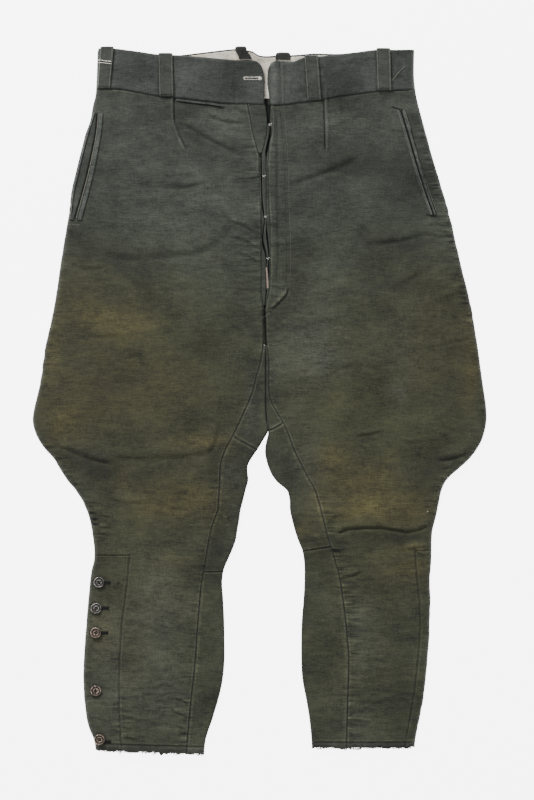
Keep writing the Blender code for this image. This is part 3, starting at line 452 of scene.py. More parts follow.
# %% Puckers: line, its side (1 toward the inner leg), from, to, height, reach, length of one pucker
PUCKERS = {
    "right": [
        ("outer", 1, 300, 0, 0.40, 9.0, 5.0),
        ("outer", 1, -55, -205, 0.80, 15.0, 7.5),
        ("outer", 1, -215, -480, 0.25, 9.0, 7.0),
        ("side", 1, -400, -482, 0.60, 14.0, 8.0),
        ("side", -1, -400, -482, 0.35, 12.0, 8.0),
        ("side", 1, -222, -400, 0.16, 8.0, 6.0),
        ("front", -1, -90, -400, 0.32, 13.0, 6.5),
        ("front", -1, -400, -486, 0.75, 20.0, 8.0),
        ("front", 1, -100, -480, 0.22, 9.0, 7.5),
        ("front", -1, 380, 140, 0.50, 26.0, 8.0),
        ("front", -1, 130, -40, 0.30, 14.0, 8.0),
    ],
    "left": [
        ("outer", 1, 395, 100, 0.80, 15.0, 7.0),
        ("outer", 1, 100, -30, 0.32, 12.0, 6.0),
        ("outer", 1, -55, -170, 0.55, 14.0, 8.0),
        ("outer", 1, -190, -480, 0.28, 12.0, 7.0),
        ("front", -1, -40, -120, 0.28, 11.0, 6.5),
        ("front", -1, -120, -195, 0.55, 18.0, 6.5),
        ("front", -1, -195, -370, 0.78, 20.0, 6.5),
        ("front", -1, -370, -480, 0.60, 22.0, 7.5),
        ("front", 1, -100, -470, 0.22, 9.0, 8.0),
        ("side", 1, -215, -330, 0.35, 9.0, 6.0),
        ("front", -1, 410, 130, 0.34, 34.0, 8.0),
        ("front", -1, 120, -30, 0.30, 12.0, 8.0),
    ],
}
print(sum(len(rows) for rows in CREASES.values()), "creases,", sum(len(rows) for rows in PUCKERS.values()),
      "stretches of puckers")

# %% Height of the top cloth
WAVES = [
    # height, width, length, seed
    (0.85, 44.0, 44.0, 3), (0.36, 15.0, 12.0, 4), (0.16, 20.0, 4.5, 5),
]
CALF_WAVES = (0.40, 26.0, 6.0, 6)
CALF_Y = -190.0
CALF_SHARE = {"right": 0.4, "left": 1.0}


def beside_path(path, x, y):
    """Give the signed distance to a path, positive on its left, and how far along it the nearest place is."""
    best = np.full(np.shape(x), 1e9)
    signed = np.full(np.shape(x), 1e9)
    along = np.zeros(np.shape(x))
    run = 0.0
    for (ax, ay), (bx, by) in zip(path, path[1:]):
        length = math.hypot(bx - ax, by - ay)
        ux, uy = (bx - ax) / length, (by - ay) / length
        on = np.clip((x - ax) * ux + (y - ay) * uy, 0.0, length)
        dx, dy = x - ax - ux * on, y - ay - uy * on
        away = np.hypot(dx, dy)
        nearer = away < best
        best = np.where(nearer, away, best)
        signed = np.where(nearer, np.where(ux * dy - uy * dx >= 0, away, -away), signed)
        along = np.where(nearer, run + on, along)
        run += length
    return signed, along, run


def crease_height(x, y, side, widest=99.0):
    """Add up the ridges and troughs of the creases up to some width."""
    total = np.zeros(np.shape(x))
    for ridge, trough, width, path in CREASES[side]:
        if width > widest:
            continue
        away, along, length = beside_path(path, x, y)
        fade = ease(along / (2.4 * width) + 0.15) * ease((length - along) / (2.4 * width) + 0.15)
        ridge_part = ridge * bell(away - 0.9 * width, width)
        total += fade * (ridge_part - trough * bell(away, 0.45 * width))
    return CREASE_DEPTH * total


def within(y, start, stop):
    """Give 1 between two heights, eased to 0 at both ends."""
    return ease((start - y) / PUCKER_END) * ease((y - stop) / PUCKER_END)


def pucker_wave(y, length, seed):
    """Give the uneven swing of a row of puckers."""
    strength = 0.55 + 0.45 * ripple(y / (5.5 * length), seed + 50)
    return strength * ripple(2.0 * y / length, seed)


def pucker_height(x, y, side):
    """Add up the puckers that fade away from the seams and edges."""
    total = np.zeros(np.shape(x))
    for number, (line, toward, start, stop, height, reach, length) in enumerate(PUCKERS[side]):
        away = (x - LINES[side][line](y)) * INWARD[side] * toward
        lean = y + 0.12 * away
        fade = np.where(away > 0, np.exp(-away / reach) * (1.0 - np.exp(-away / 0.8)), 0.0)
        swing = pucker_wave(lean, length, 11 * number + len(side))
        total += height * within(y, start, stop) * fade * swing
    return PUCKER_DEPTH * total


def cloth_height(x, y, side):
    """Height of the top cloth in the middle of the panels."""
    lines = LINES[side]
    from_outer = np.abs(x - lines["outer"](y)) - OUTER_ROLL
    from_inner = np.abs(x - lines["inner"](y)) - INNER_ROLL
    above_fork = ease((y - FORK_Y) / FORK_BLEND)
    inner_share = above_fork + (1.0 - above_fork) * ease(from_inner / PUFF_REACH)
    base = EDGE_TOP + PUFF * ease(from_outer / PUFF_REACH) * inner_share
    quiet = ease(from_outer / 14.0 + 0.25) * (above_fork + (1.0 - above_fork) * ease(from_inner / 10.0 + 0.2))
    uneven = sum(height * cloud(x / wide, y / long, seed) for height, wide, long, seed in WAVES)
    calf = ease((CALF_Y - y) / 30.0) * CALF_SHARE[side]
    height, wide, long, seed = CALF_WAVES
    uneven += height * calf * cloud(x / wide, y / long, seed)
    height = base + quiet * (crease_height(x, y, side) + uneven) + pucker_height(x, y, side)
    return np.maximum(height, LOWEST_TOP)


def seam_lip(away):
    """Give the rounded, slightly raised edge of a turned and stitched seam."""
    return 0.32 * bell(away - 2.6, 1.7) - 0.75 * bell(away, 0.75)


probe = np.array([[-150.0, 170.0]])
print("cloth height at two places:", np.round(cloth_height(probe, np.array([[-75.0, -175.0]]), "left"), 2))

# %% [markdown]
# ## One sheet for each leg, cut along its seams
# A trouser leg is a tube that has been pressed flat. It is built as one grid that starts at the side edge on
# the table, rolls over onto the top, crosses the front, turns down at the inner edge and comes back along
# the table. The seams are narrow strips of cells that belong to no piece, so cutting the grid along them
# gives pieces that fit each other, as a real maker's pieces do. Rows and columns stand closer near seams,
# where the edges are rounded.

# %% Rows down a leg
ROW_STEP = 1.8
SEAM_STEPS = (0.5, 1.2, 2.2, 3.6)
CLOSE_ROWS = {"right": [(-50.0, -105.0, 1.6)], "left": [(-165.0, -196.0, 1.0), (-66.0, -92.0, 1.6)]}


def leg_rows(side):
    """Give the height of every row of a leg, and the part of the leg below it."""
    levels, parts = [], []
    for (top, part), (low, _) in zip(PARTS[side], PARTS[side][1:]):
        inside = []
        if not part.endswith("seam"):
            seams = SEAM_STEPS if top - low > 30 else SEAM_STEPS[:2]
            inside = list(np.linspace(top, low, max(2, round((top - low) / ROW_STEP)))[1:-1])
            for start, stop, step in CLOSE_ROWS[side]:
                if low < start and stop < top:
                    clear = [y for y in inside if not max(stop, low) <= y <= min(start, top)]
                    inside = clear + list(np.arange(max(stop, low) + 4.5, min(start, top) - 4.5, step))
            inside = [y for y in inside if min(top - y, y - low) > seams[-1] + 0.6]
            inside += [top - step for step in seams] + [low + step for step in seams]
        for y in [top] + sorted(inside, reverse=True):
            levels.append(y)
            parts.append(part)
    levels.append(PARTS[side][-1][0])
    parts.append("end")
    return np.array(levels), parts


def bent_row(x, level, side):
    """Bend level rows so that the top ones follow the waist seam and the last ones the hem."""
    first = PARTS[side][0][0]
    top_share = np.clip(1.0 - (first - level) / WAIST_FADE, 0.0, 1.0)
    tilt = HEM_TILT if side == "right" else 0.0
    hem_share = np.clip(1.0 - (level - HEM_Y) / HEM_FADE, 0.0, 1.0)
    seam_rise = (straight(WAIST_SEAM[side], x) - first) * top_share
    return level + seam_rise - (x - LEG_MIDDLE_X) * tilt * hem_share


def place(line, level, side):
    """Find where a line crosses the bent rows."""
    y = level
    for _ in range(3):
        y = bent_row(line(y), level, side)
    return line(y), y


# %% Columns across a leg
ROLL_STEPS = 9
TURN_STEPS = 10
FLOOR_LINES = 12
SIDE_LINES = 10
OUTER_LINES = 16
TUCK_LINES = 13
INNER_LINES = 36
WRAP_LINES = 9
TUCK_REACH = 9.0
LEAST_STEP = 0.02


def shifted(line, offset):
    """Move a line sideways by a fixed distance."""
    return lambda y: line(y) + offset


def spread(first, last, count, offsets_first=(), offsets_last=(), inward=1.0):
    """Give lines between two others, with a few close to either one at fixed distances."""
    lines = [first] + [shifted(first, inward * offset) for offset in offsets_first]
    start = offsets_first[-1] if offsets_first else 0.0
    stop = offsets_last[-1] if offsets_last else 0.0
    for share in np.linspace(0.0, 1.0, count + 2)[1:-1]:
        lines.append(lambda y, share=share: (first(y) + inward * start) * (1 - share)
                     + (last(y) - inward * stop) * share)
    lines += [shifted(last, -inward * offset) for offset in reversed(offsets_last)]
    return lines


def leg_columns(side):
    """Give every flat line of the top, with its zone and its share of the cross seams' climb."""
    lines = LINES[side]
    inward = INWARD[side]
    half = inward * SEAM_GAP / 2.0
    rolled = shifted(lines["outer"], inward * OUTER_ROLL)
    seam_out, seam_in = shifted(lines["side"], -half), shifted(lines["side"], half)
    tuck_out, tuck_in = (shifted(lines["tuck"], sign * inward * TUCK_REACH) for sign in (-1.0, 1.0))
    front_out, front_in = shifted(lines["front"], -half), shifted(lines["front"], half)
    turned = shifted(lines["inner"], -inward * INNER_ROLL)
    side_part = spread(rolled, seam_out, SIDE_LINES, (), SEAM_STEPS, inward)[1:]
    outer_part = spread(seam_in, tuck_out, OUTER_LINES, SEAM_STEPS, (), inward)
    outer_part += spread(tuck_out, tuck_in, TUCK_LINES, (), (), inward)
    inner_part = spread(tuck_in, front_out, INNER_LINES, (), SEAM_STEPS, inward)
    columns = [(line, "side", 0.0) for line in side_part] + [(seam_out, "side seam", 0.0)]
    columns += [(line, "front", 0.0) for line in outer_part]
    climbing = len(inner_part) - len(SEAM_STEPS) - 1
    columns += [(line, "front", min(1.0, number / climbing)) for number, line in enumerate(inner_part)]
    columns.append((front_out, "inseam", 1.0))
    return columns, front_in, turned


# %% Build the grid of a leg


def leg_sheet(side):
    """Build one leg's grid: outer points, inner points, part of each row and zone of each column."""
    levels, parts = leg_rows(side)
    lines = LINES[side]
    inward = INWARD[side]
    columns, front_in, turned = leg_columns(side)
    climb = straight(CROSS_CLIMB[side], levels)
    outside, inside, zones = [], [], []

    # The rolled side edge, notched by its puckers
    x_edge, y_edge = place(lines["outer"], levels, side)
    notch = np.zeros(len(levels))
    for number, (line, _, start, stop, height, _, length) in enumerate(PUCKERS[side]):
        if line == "outer":
            swing = pucker_wave(y_edge, 2.2 * length, 11 * number + len(side))
            notch += NOTCH_DEPTH * height * within(y_edge, start, stop) * swing
    roll = OUTER_ROLL + OUTER_SWELL + notch
    x_edge = x_edge - inward * (OUTER_SWELL + notch)
    rise = cloth_height(x_edge + inward * roll, y_edge, side)
    for step in range(ROLL_STEPS + 1):
        angle = math.pi / 2.0 * step / ROLL_STEPS
        x_out = x_edge + inward * roll * (1.0 - math.cos(angle))
        x_in = x_edge + inward * (roll - (roll - CLOTH) * math.cos(angle))
        outside.append(grid(x_out, y_edge, rise * math.sin(angle)))
        inside.append(grid(x_in, y_edge, (rise - CLOTH) * math.sin(angle)))
        zones.append("side")

    # The flat top, column by column
    for line, zone, share in columns:
        y = place(line, levels, side)[1] + climb * share
        x = line(y)
        outside.append(grid(x, y, cloth_height(x, y, side)))
        zones.append(zone)

    # The strip at the inner edge, then the turn down to the table
    wrap = spread(front_in, turned, WRAP_LINES, SEAM_STEPS[:3], (), inward)
    for number, line in enumerate(wrap):
        share = max(0.0, 1.0 - number / len(wrap))
        y = place(line, levels, side)[1] + climb * share
        least = LEAST_STEP * number
        x = np.where((line(y) - front_in(y)) * inward < least, front_in(y) + inward * least, line(y))
        outside.append(grid(x, y, cloth_height(x, y, side)))
        zones.append("wrap")
    for points in outside[ROLL_STEPS + 1:]:
        inside.append(points - np.array([0.0, 0.0, CLOTH]))
    x_turn, y_turn = place(turned, levels, side)
    middle = cloth_height(x_turn, y_turn, side) / 2.0
    turn = INNER_ROLL + INNER_SWELL * ease((-22.0 - levels) / 20.0)
    for step in range(TURN_STEPS + 1):
        angle = math.pi * step / TURN_STEPS
        out = inward * math.sin(angle)
        outside.append(grid(x_turn + out * turn, y_turn, middle * (1 + math.cos(angle))))
        inside.append(grid(x_turn + out * (turn - CLOTH), y_turn, middle + (middle - CLOTH) * math.cos(angle)))
        zones.append("wrap")
    zones[-1] = "turn seam"

    # The sheet on the table
    below_fork = levels <= FORK_Y
    near_turn = shifted(turned, -inward * SEAM_GAP)
    near_fork = shifted(lines["inner"], -inward * SEAM_GAP / 2.0)
    far = shifted(lines["outer"], inward * FLOOR_CLEAR)
    for share in np.linspace(0.0, 1.0, FLOOR_LINES):
        between = lambda y: np.where(below_fork, near_turn(y), near_fork(y)) * (1 - share) + far(y) * share
        x, y = place(between, levels, side)
        outside.append(grid(x, y, 0.0))
        inside.append(grid(x, y, CLOTH))
        zones.append("floor")
    zones[-1] = "end"
    return shape_seams(side, levels, parts, np.stack(outside, 1), np.stack(inside, 1), zones)


def shape_seams(side, levels, parts, outside, inside, zones):
    """Round the edges along the seams of a leg's grid and rough up the hem's end."""
    inward = INWARD[side]
    lines = LINES[side]
    zone = np.array(zones)
    x, y = outside[:, :, 0], outside[:, :, 1]
    raised = np.zeros(x.shape)
    seam_levels = {part: (top + low) / 2.0 for (top, part), (low, _) in zip(PARTS[side], PARTS[side][1:])}
    on_top = np.isin(zone, ["side", "side seam", "front", "inseam", "wrap"])
    on_front = np.isin(zone, ["front", "inseam"])
    beside_facing = 0.35 if side == "right" else 1.0
    soft = np.where(y > 345.0, beside_facing, 1.0)
    raised += on_front * soft * seam_lip(np.abs(x - lines["front"](y)))
    raised += (zone == "wrap") * (y < FORK_Y) * seam_lip(np.abs(x - lines["front"](y))) * 0.8
    calf_top = seam_levels.get("placket seam", seam_levels["patch seam"])
    calf = (levels < calf_top)[:, None]
    raised += calf * np.isin(zone, ["side", "side seam", "front"]) * seam_lip(np.abs(x - lines["side"](y)))
    row_seams = [(calf_top, np.isin(zone, ["side", "side seam"])), (seam_levels["hem seam"], on_top),
                 (seam_levels["gusset seam"], zone == "wrap"), (seam_levels["patch seam"], zone == "wrap"),
                 (PARTS[side][0][0], on_front | (zone == "side"))]
    for level, where in row_seams:
        raised += where * seam_lip(np.abs(levels - level))[:, None]
    hem = np.array([part in ("hem", "end") for part in parts])[:, None]
    end_level = PARTS[side][-1][0]
    raised += hem * on_top * (0.35 - 1.0 * bell(levels - end_level, 1.0)[:, None])
    outside[:, :, 2] += raised * np.clip(outside[:, :, 2] / EDGE_TOP, 0.0, 1.0)
    ragged = hem * bell(levels - end_level, 5.0)[:, None]
    ragged = ragged * (2.6 * ripple(x / 6.0, 71) + 1.6 * ripple(x / 2.4, 72)) * (outside[:, :, 2] > 1.0)
    outside[:, :, 1] += ragged
    inside[:, :, 1] += ragged
    return {"levels": levels, "parts": parts, "outside": outside, "inside": inside, "zones": zones}


SHEETS = {side: leg_sheet(side) for side in ("right", "left")}
for side, sheet in SHEETS.items():
    print(side, "grid:", sheet["outside"].shape[0], "rows by", sheet["outside"].shape[1], "columns")

# %% [markdown]
# ## Stains, wear and painted shade
# Decades of riding, rain and light have turned the cloth brown on the thighs and ochre at the knees, and pale
# where it rubbed. The dark patches are painted shade: soft shadow in the deep folds, laid into the colour. A
# dyer would blot stains on, and so does this table: each patch has a middle, a reach and a strength. Every
# point of a mesh gets the strength of each kind, and the finish later breaks the patches up with noise.

# %% Patches of stain and of painted shade: middle, reach, strength
STAINS = {
    "right": {
        "brown": [(-258, 155, 48, 67, 0.6), (-206, 111, 81, 64, 0.75), (-234, 7, 70, 87, 0.8),
                  (-142, 13, 118, 62, 0.75), (-282, -27, 42, 62, 0.8), (-97, -69, 77, 42, 0.5),
                  (-139, -146, 87, 48, 0.7), (-62, -160, 20, 31, 0.6), (-216, -335, 22, 42, 0.55),
                  (-206, -262, 24, 46, 0.5), (-153, -251, 63, 56, 0.35), (-167, -419, 70, 70, 0.25)],
        "ochre": [(-230, 116, 34, 18, 0.5), (-181, 105, 34, 15, 0.42), (-293, 63, 17, 45, 0.4),
                  (-83, -56, 34, 10, 0.7), (-271, -27, 20, 25, 0.5), (-100, -133, 50, 22, 0.6),
                  (-139, -150, 42, 13, 0.4), (-192, -111, 20, 20, 0.5), (-139, -267, 31, 42, 0.4),
                  (-181, -351, 20, 31, 0.25), (-218, -323, 13, 42, 0.35), (-122, -225, 25, 11, 0.45)],
        # The dark patches are painted shade: soft shadow in the folds and beside the pocket, laid into the
        # colour.
        "dark": [(-188, 195, 34, 21, 0.55), (-246, -80, 48, 14, 0.5), (-218, -99, 34, 15, 0.45),
                 (-33, 231, 36, 24, 0.4), (-103, 301, 31, 10, 0.45), (-94, 365, 31, 14, 0.4),
                 (-52, 351, 34, 14, 0.35), (-251, 351, 25, 84, 0.25), (-229, -85, 14, 28, 0.2),
                 (-62, -76, 11, 20, 0.5), (-209, -139, 14, 20, 0.4), (-167, -108, 39, 13, 0.35),
                 (-5, 1, 11, 70, 0.5), (-230, 211, 42, 17, 0.3), (-75, 71, 42, 42, 0.2),
                 (-64, -202, 13, 28, 0.45), (-66, -223, 20, 28, 0.4)],
        "pale": [(-76, 281, 56, 56, 0.45), (-62, 393, 42, 17, 0.4), (-153, 281, 56, 56, 0.2),
                 (-69, 195, 22, 17, 0.3), (-13, -13, 11, 48, 0.3), (-139, -279, 39, 77, 0.45),
                 (-139, -419, 56, 70, 0.40), (-215, -380, 32, 110, 0.35), (-150, -380, 80, 130, 0.2),
                 (-38, -111, 11, 34, 0.2), (-111, 246, 56, 22, 0.25)],
    },
    "left": {
        "brown": [(253, 99, 64, 92, 0.6), (295, 52, 28, 90, 0.7), (225, 49, 34, 42, 0.6),
                  (197, -139, 73, 42, 0.8), (127, -113, 56, 39, 0.55), (190, -172, 64, 20, 0.8),
                  (99, -85, 36, 34, 0.45), (186, -237, 62, 42, 0.4), (71, -167, 22, 34, 0.6),
                  (225, 141, 56, 56, 0.3), (130, 1, 84, 42, 0.4), (239, -55, 56, 42, 0.4)],
        "ochre": [(153, -147, 21, 13, 1.0), (130, -116, 42, 31, 0.5), (194, -147, 42, 18, 0.5),
                  (102, -80, 25, 22, 0.45), (177, -97, 20, 28, 0.35), (79, -139, 14, 14, 0.25),
                  (57, -183, 14, 11, 0.4), (202, -234, 36, 20, 0.35), (211, -206, 28, 6, 0.5),
                  (120, -155, 34, 10, 0.5), (295, 41, 13, 56, 0.35), (60, 69, 25, 28, 0.25),
                  (99, 78, 14, 42, 0.15), (57, -335, 14, 20, 0.2)],
        # The dark patches are painted shade: soft shadow in the folds, laid into the colour.
        "dark": [(118, 330, 56, 13, 0.6), (65, 312, 34, 10, 0.4), (200, 223, 53, 8, 0.5),
                 (208, 164, 36, 11, 0.45), (152, -49, 25, 7, 0.3), (264, -85, 36, 14, 0.5),
                 (197, -192, 56, 7, 0.6), (71, -196, 20, 7, 0.5), (37, -97, 14, 42, 0.4),
                 (239, -167, 14, 20, 0.3), (120, -202, 28, 11, 0.3), (12, 29, 11, 70, 0.5),
                 (184, 335, 75, 75, 0.32), (225, 281, 20, 84, 0.25), (204, -335, 28, 56, 0.2),
                 (225, -97, 42, 17, 0.3), (191, -419, 34, 42, 0.25)],
        "pale": [(85, 382, 36, 25, 0.4), (120, 391, 28, 17, 0.35), (57, 69, 42, 48, 0.5),
                 (183, 379, 42, 34, 0.2), (92, 99, 28, 56, 0.3), (99, 57, 42, 20, 0.3),
                 (141, -335, 20, 70, 0.3), (134, -447, 42, 34, 0.3), (150, -380, 80, 120, 0.12),
                 (71, -97, 20, 48, 0.3), (99, 281, 70, 42, 0.15), (197, 85, 28, 70, 0.2),
                 (194, 8, 14, 11, 0.4)],
    },
}
AGED = {
    "right": [(-150.0, 40.0, 200.0, 150.0, 0.85), (-140.0, -200.0, 150.0, 150.0, 0.7),
              (-150.0, -400.0, 130.0, 150.0, 0.9)],
    "left": [(150.0, 20.0, 210.0, 180.0, 0.80), (150.0, -200.0, 150.0, 150.0, 0.75),
             (150.0, -400.0, 130.0, 150.0, 0.9)],
}
for side, patches in AGED.items():
    STAINS[side]["olive"] = patches
STAIN_KINDS = ("olive", "brown", "ochre", "dark", "pale")


def stain_share(x, y, side, kind):
    """Give how strongly one kind of patch shows at each point; the dark kind is painted shade."""
    clear = np.ones(np.shape(x))
    wobble_x = x + 7.0 * cloud(x / 26.0, y / 26.0, 21)
    wobble_y = y + 5.0 * cloud(x / 22.0, y / 18.0, 22)
    for middle_x, middle_y, reach_x, reach_y, strength in STAINS[side][kind]:
        away = ((wobble_x - middle_x) / reach_x) ** 2 + ((wobble_y - middle_y) / reach_y) ** 2
        clear = clear * (1.0 - strength * np.exp(-1.1 * away))
    return 1.0 - clear


print("patches:", {side: sum(len(rows) for rows in kinds.values()) for side, kinds in STAINS.items()})

# %% [markdown]
# ## Writing finishes as sums
# A material's nodes are easier to read as arithmetic. `Wire` stands for what comes out of a node, so that
# `0.5 * noise + mask` adds the Math nodes for it. `Finish` is a material, and its `node` method adds any
# other node: settings first, then values or wires for the sockets.

# %% Wire and Finish


class Wire:
    """What comes out of a node; arithmetic on it adds Math nodes."""

    def __init__(self, finish, socket):
        self.finish = finish
        self.socket = socket

    def math(self, operation, *values, clamp=False):
        settings = {"operation": operation, "use_clamp": clamp}
        return self.finish.node("ShaderNodeMath", settings, dict(enumerate(values)))

    def __add__(self, other):
        return self.math("ADD", self, other)

    def __sub__(self, other):
        return self.math("SUBTRACT", self, other)

    def __rsub__(self, other):
        return self.math("SUBTRACT", other, self)

    def __mul__(self, other):
        return self.math("MULTIPLY", self, other)

    __radd__ = __add__
    __rmul__ = __mul__

    def limited(self):
        return self.math("ADD", self, 0.0, clamp=True)

    def above(self, start, stop):
        """Rise from 0 at start to 1 at stop."""
        return ((self - start) * (1.0 / (stop - start))).limited()


class Finish:
    """A named material, with one method that adds nodes."""

    def __init__(self, name, roughness, metallic=0.0, sheen=0.0):
        self.material = bpy.data.materials.new(name)
        self.material.use_nodes = True
        self.tree = self.material.node_tree
        self.shader = self.tree.nodes["Principled BSDF"]
        self.shader.inputs["Metallic"].default_value = metallic
        self.shader.inputs["Roughness"].default_value = roughness
        self.shader.inputs["Sheen Weight"].default_value = sheen
        self.shader.inputs["Sheen Roughness"].default_value = 0.55

    def put(self, socket, value):
        if isinstance(value, Wire):
            self.tree.links.new(value.socket, socket)
        else:
            socket.default_value = value

    def node(self, kind, settings=None, values=None, out=0):
        made = self.tree.nodes.new(kind)
        for name, value in (settings or {}).items():
            setattr(made, name, value)
        for name, value in (values or {}).items():
            self.put(made.inputs[name], value)
        return Wire(self, made.outputs[out])

    def place(self, stretch=(1.0, 1.0, 1.0)):
        """Give the place on the object in metres, stretched along each axis."""
        where = self.node("ShaderNodeTexCoord", out="Object")
        return self.node("ShaderNodeVectorMath", {"operation": "MULTIPLY"}, {0: where, 1: stretch})

    def noise(self, lump, stretch=(1.0, 1.0, 1.0), detail=2.0):
        """Give noise from 0 to 1 with lumps of about this size in millimetres."""
        values = {"Vector": self.place(stretch), "Scale": 1000.0 / lump, "Detail": detail, "Roughness": 0.55}
        return self.node("ShaderNodeTexNoise", {}, values, "Fac")

    def mask(self, name):
        """Read one of the mesh's own values."""
        return self.node("ShaderNodeAttribute", {"attribute_name": name}, {}, "Fac")

    def mix(self, share, first, second):
        """Mix two colours."""
        return self.node("ShaderNodeMix", {"data_type": "RGBA"}, {0: share, 6: first, 7: second}, 2)

    def scaled(self, colour, factor):
        """Make a colour brighter or darker."""
        return self.node("ShaderNodeVectorMath", {"operation": "SCALE"}, {0: colour, "Scale": factor})

    def bump(self, height, depth):
        """Tilt the surface by a height from 0 to 1, this many millimetres deep."""
        values = {"Height": height, "Distance": depth * MM, "Strength": 1.0}
        self.put(self.shader.inputs["Normal"], self.node("ShaderNodeBump", {}, values))


def tint(red, green, blue):
    """Write a colour with its alpha."""
    return (red, green, blue, 1.0)


# %% [markdown]
# ## The cloth's finish
# The cloth is a hard-wearing woven stuff, grey-green when new. Its weft is uneven, which shows as short pale
# and dark streaks across the leg, with fainter ones down it. The colour is mixed in layers: dye, then age,
# brown stains and ochre wear, then painted shade in the folds, hollows and edges, and paler ridges that are
# partly wear and partly painted highlight. The bump holds a fine weave and a little nap, and sheen on the
# shader stands for the fibres that stick up.

# %% Worn cloth
# Colours of the stains; the dark one is painted shade for folds, hollows, grooves and edges.
STAIN_AND_SHADE_TINTS = {"olive": tint(0.047, 0.050, 0.022), "brown": tint(0.049, 0.046, 0.020),
        "ochre": tint(0.094, 0.082, 0.031), "dark": tint(0.015, 0.016, 0.011),
        "pale": tint(0.080, 0.086, 0.068)}
# The noises in the cloth: size of a lump in millimetres, how it is stretched, how much detail
LUMPS = {"broad": (70.0, (1.0, 1.25, 1.0), 3.0), "cloudy": (17.0, (0.5, 1.3, 1.0), 3.0),
         "mottled": (8.0, (0.6, 1.3, 1.0), 2.0), "weft": (3.0, (0.30, 2.0, 1.0), 2.0),
         "warp": (2.8, (2.0, 0.30, 1.0), 2.0), "pleat": (3.6, (0.15, 1.0, 1.0), 1.0),
         "speck": (2.0, (0.7, 1.4, 1.0), 1.0)}
# How far each noise swings the tone of the cloth
TONE = {"broad": 1.2, "cloudy": 0.9, "mottled": 0.8, "speck": 1.0}
STREAKS = {"weft": 1.1, "warp": 0.7}
# How strongly the puckers are painted darker and paler along their noise: painted shade and highlight.
PUCKER_SHADE_AND_HIGHLIGHT = 5.0
WEAVE_DEPTH = 0.38
LINT_COLOUR = tint(0.14, 0.14, 0.11)
THREADS_APART = 0.9
# How much paler rubbed places are; on crease, pucker and welt ridges this is painted highlight.
RUB_AND_HIGHLIGHT_PALER = 2.3
# The colour of the painted shade on the rolled edges of the cloth.
RIM_SHADE = tint(0.004, 0.005, 0.004)


def weave_height(finish):
    """Give the height of a fine weave: ribs across the leg, crossed by finer ones."""
    ribs = []
    for direction, apart, distortion in (("Y", THREADS_APART, 1.6), ("X", 0.75 * THREADS_APART, 1.2)):
        values = {"Vector": finish.place(), "Scale": 1000.0 * math.tau / 20.0 / apart,
                  "Distortion": distortion, "Detail": 1.0, "Detail Scale": 0.3}
        ribs.append(finish.node("ShaderNodeTexWave", {"bands_direction": direction}, values, "Fac"))
    across, along = ribs
    return 0.6 * across + 0.4 * along


def cloth_finish(name, dyed, faded, stained=True, streaks=1.0, sheen=0.12):
    """Make a worn woven cloth between a dyed and a faded colour."""
    finish = Finish(name, 0.93, sheen=sheen)
    noises = {lump: finish.noise(*sizes) for lump, sizes in LUMPS.items()}
    broad, cloudy, mottled = noises["broad"], noises["cloudy"], noises["mottled"]
    weft, speck = noises["weft"], noises["speck"]
    # The puckers' noise feeds the bump, and the tone as painted shade and highlight.
    pleats = finish.mask("puckered") * (noises["pleat"] - 0.5)
    colour = finish.mix(broad.above(0.32, 0.68), dyed, faded)
    if stained:
        torn = 0.65 + 0.4 * cloudy + 0.3 * (weft - 0.5) + 0.2 * (mottled - 0.5)
        # The dark kind among these patches is painted shade.
        for kind in STAIN_KINDS:
            colour = finish.mix((finish.mask(kind) * torn * 1.15).limited(), colour, STAIN_AND_SHADE_TINTS[kind])
    # Painted shade in folds, hollows, grooves, edges and beside raised parts, mixed with some seam dirt.
    colour = finish.mix((finish.mask("soiled") * (0.45 + 1.0 * cloudy)).limited(), colour, STAIN_AND_SHADE_TINTS["dark"])
    # Painted shade on the rolled edges.
    colour = finish.mix(finish.mask("rim"), colour, RIM_SHADE)
    # Paler where rubbed, and painted highlight on the ridges of creases and puckers.
    rub = (finish.mask("rubbed") * (0.3 + 1.1 * speck)).limited()
    colour = finish.mix(rub, colour, finish.scaled(colour, RUB_AND_HIGHLIGHT_PALER))
    tone = 1.0 + PUCKER_SHADE_AND_HIGHLIGHT * pleats
    for lump, swing in TONE.items():
        tone = tone + swing * (noises[lump] - 0.5)
    for lump, swing in STREAKS.items():
        tone = tone + streaks * swing * (noises[lump] - 0.5)
    colour = finish.mix(speck.above(0.70, 0.78) * 0.25, finish.scaled(colour, tone), LINT_COLOUR)
    finish.put(finish.shader.inputs["Base Color"], colour)
    finish.put(finish.shader.inputs["Roughness"], 0.86 + 0.12 * cloudy)
    relief = 0.25 * weave_height(finish) + 0.25 * speck + 0.4 * weft + 0.6 * mottled + 4.0 * pleats
    finish.bump(relief, WEAVE_DEPTH)
    return finish.material


TROUSER_CLOTH = cloth_finish("worn trouser cloth", tint(0.028, 0.032, 0.023), tint(0.046, 0.053, 0.040))
INNER_LEG_CLOTH = cloth_finish("inner leg cloth", tint(0.029, 0.034, 0.027), tint(0.047, 0.052, 0.041))
BAND_CLOTH = cloth_finish("waistband cloth", tint(0.029, 0.033, 0.028), tint(0.052, 0.057, 0.049))
LOOP_CLOTH = cloth_finish("belt loop cloth", tint(0.033, 0.037, 0.030), tint(0.048, 0.053, 0.043),
                          stained=False, streaks=0.7)
BINDING_CLOTH = cloth_finish("hem binding", tint(0.020, 0.021, 0.016), tint(0.037, 0.038, 0.029),
                             stained=False, streaks=0.6)
WORN_BINDING_CLOTH = cloth_finish("worn hem binding", tint(0.032, 0.035, 0.024), tint(0.056, 0.060, 0.044),
                                  stained=False, streaks=0.8)
LINING_CLOTH = cloth_finish("cream cotton lining", tint(0.66, 0.60, 0.48), tint(0.74, 0.70, 0.60),
                            stained=False, streaks=0.12, sheen=0.0)
print("cloth finishes made, weave", THREADS_APART, "mm")

# %% Thread, shadowed cloth and button metal


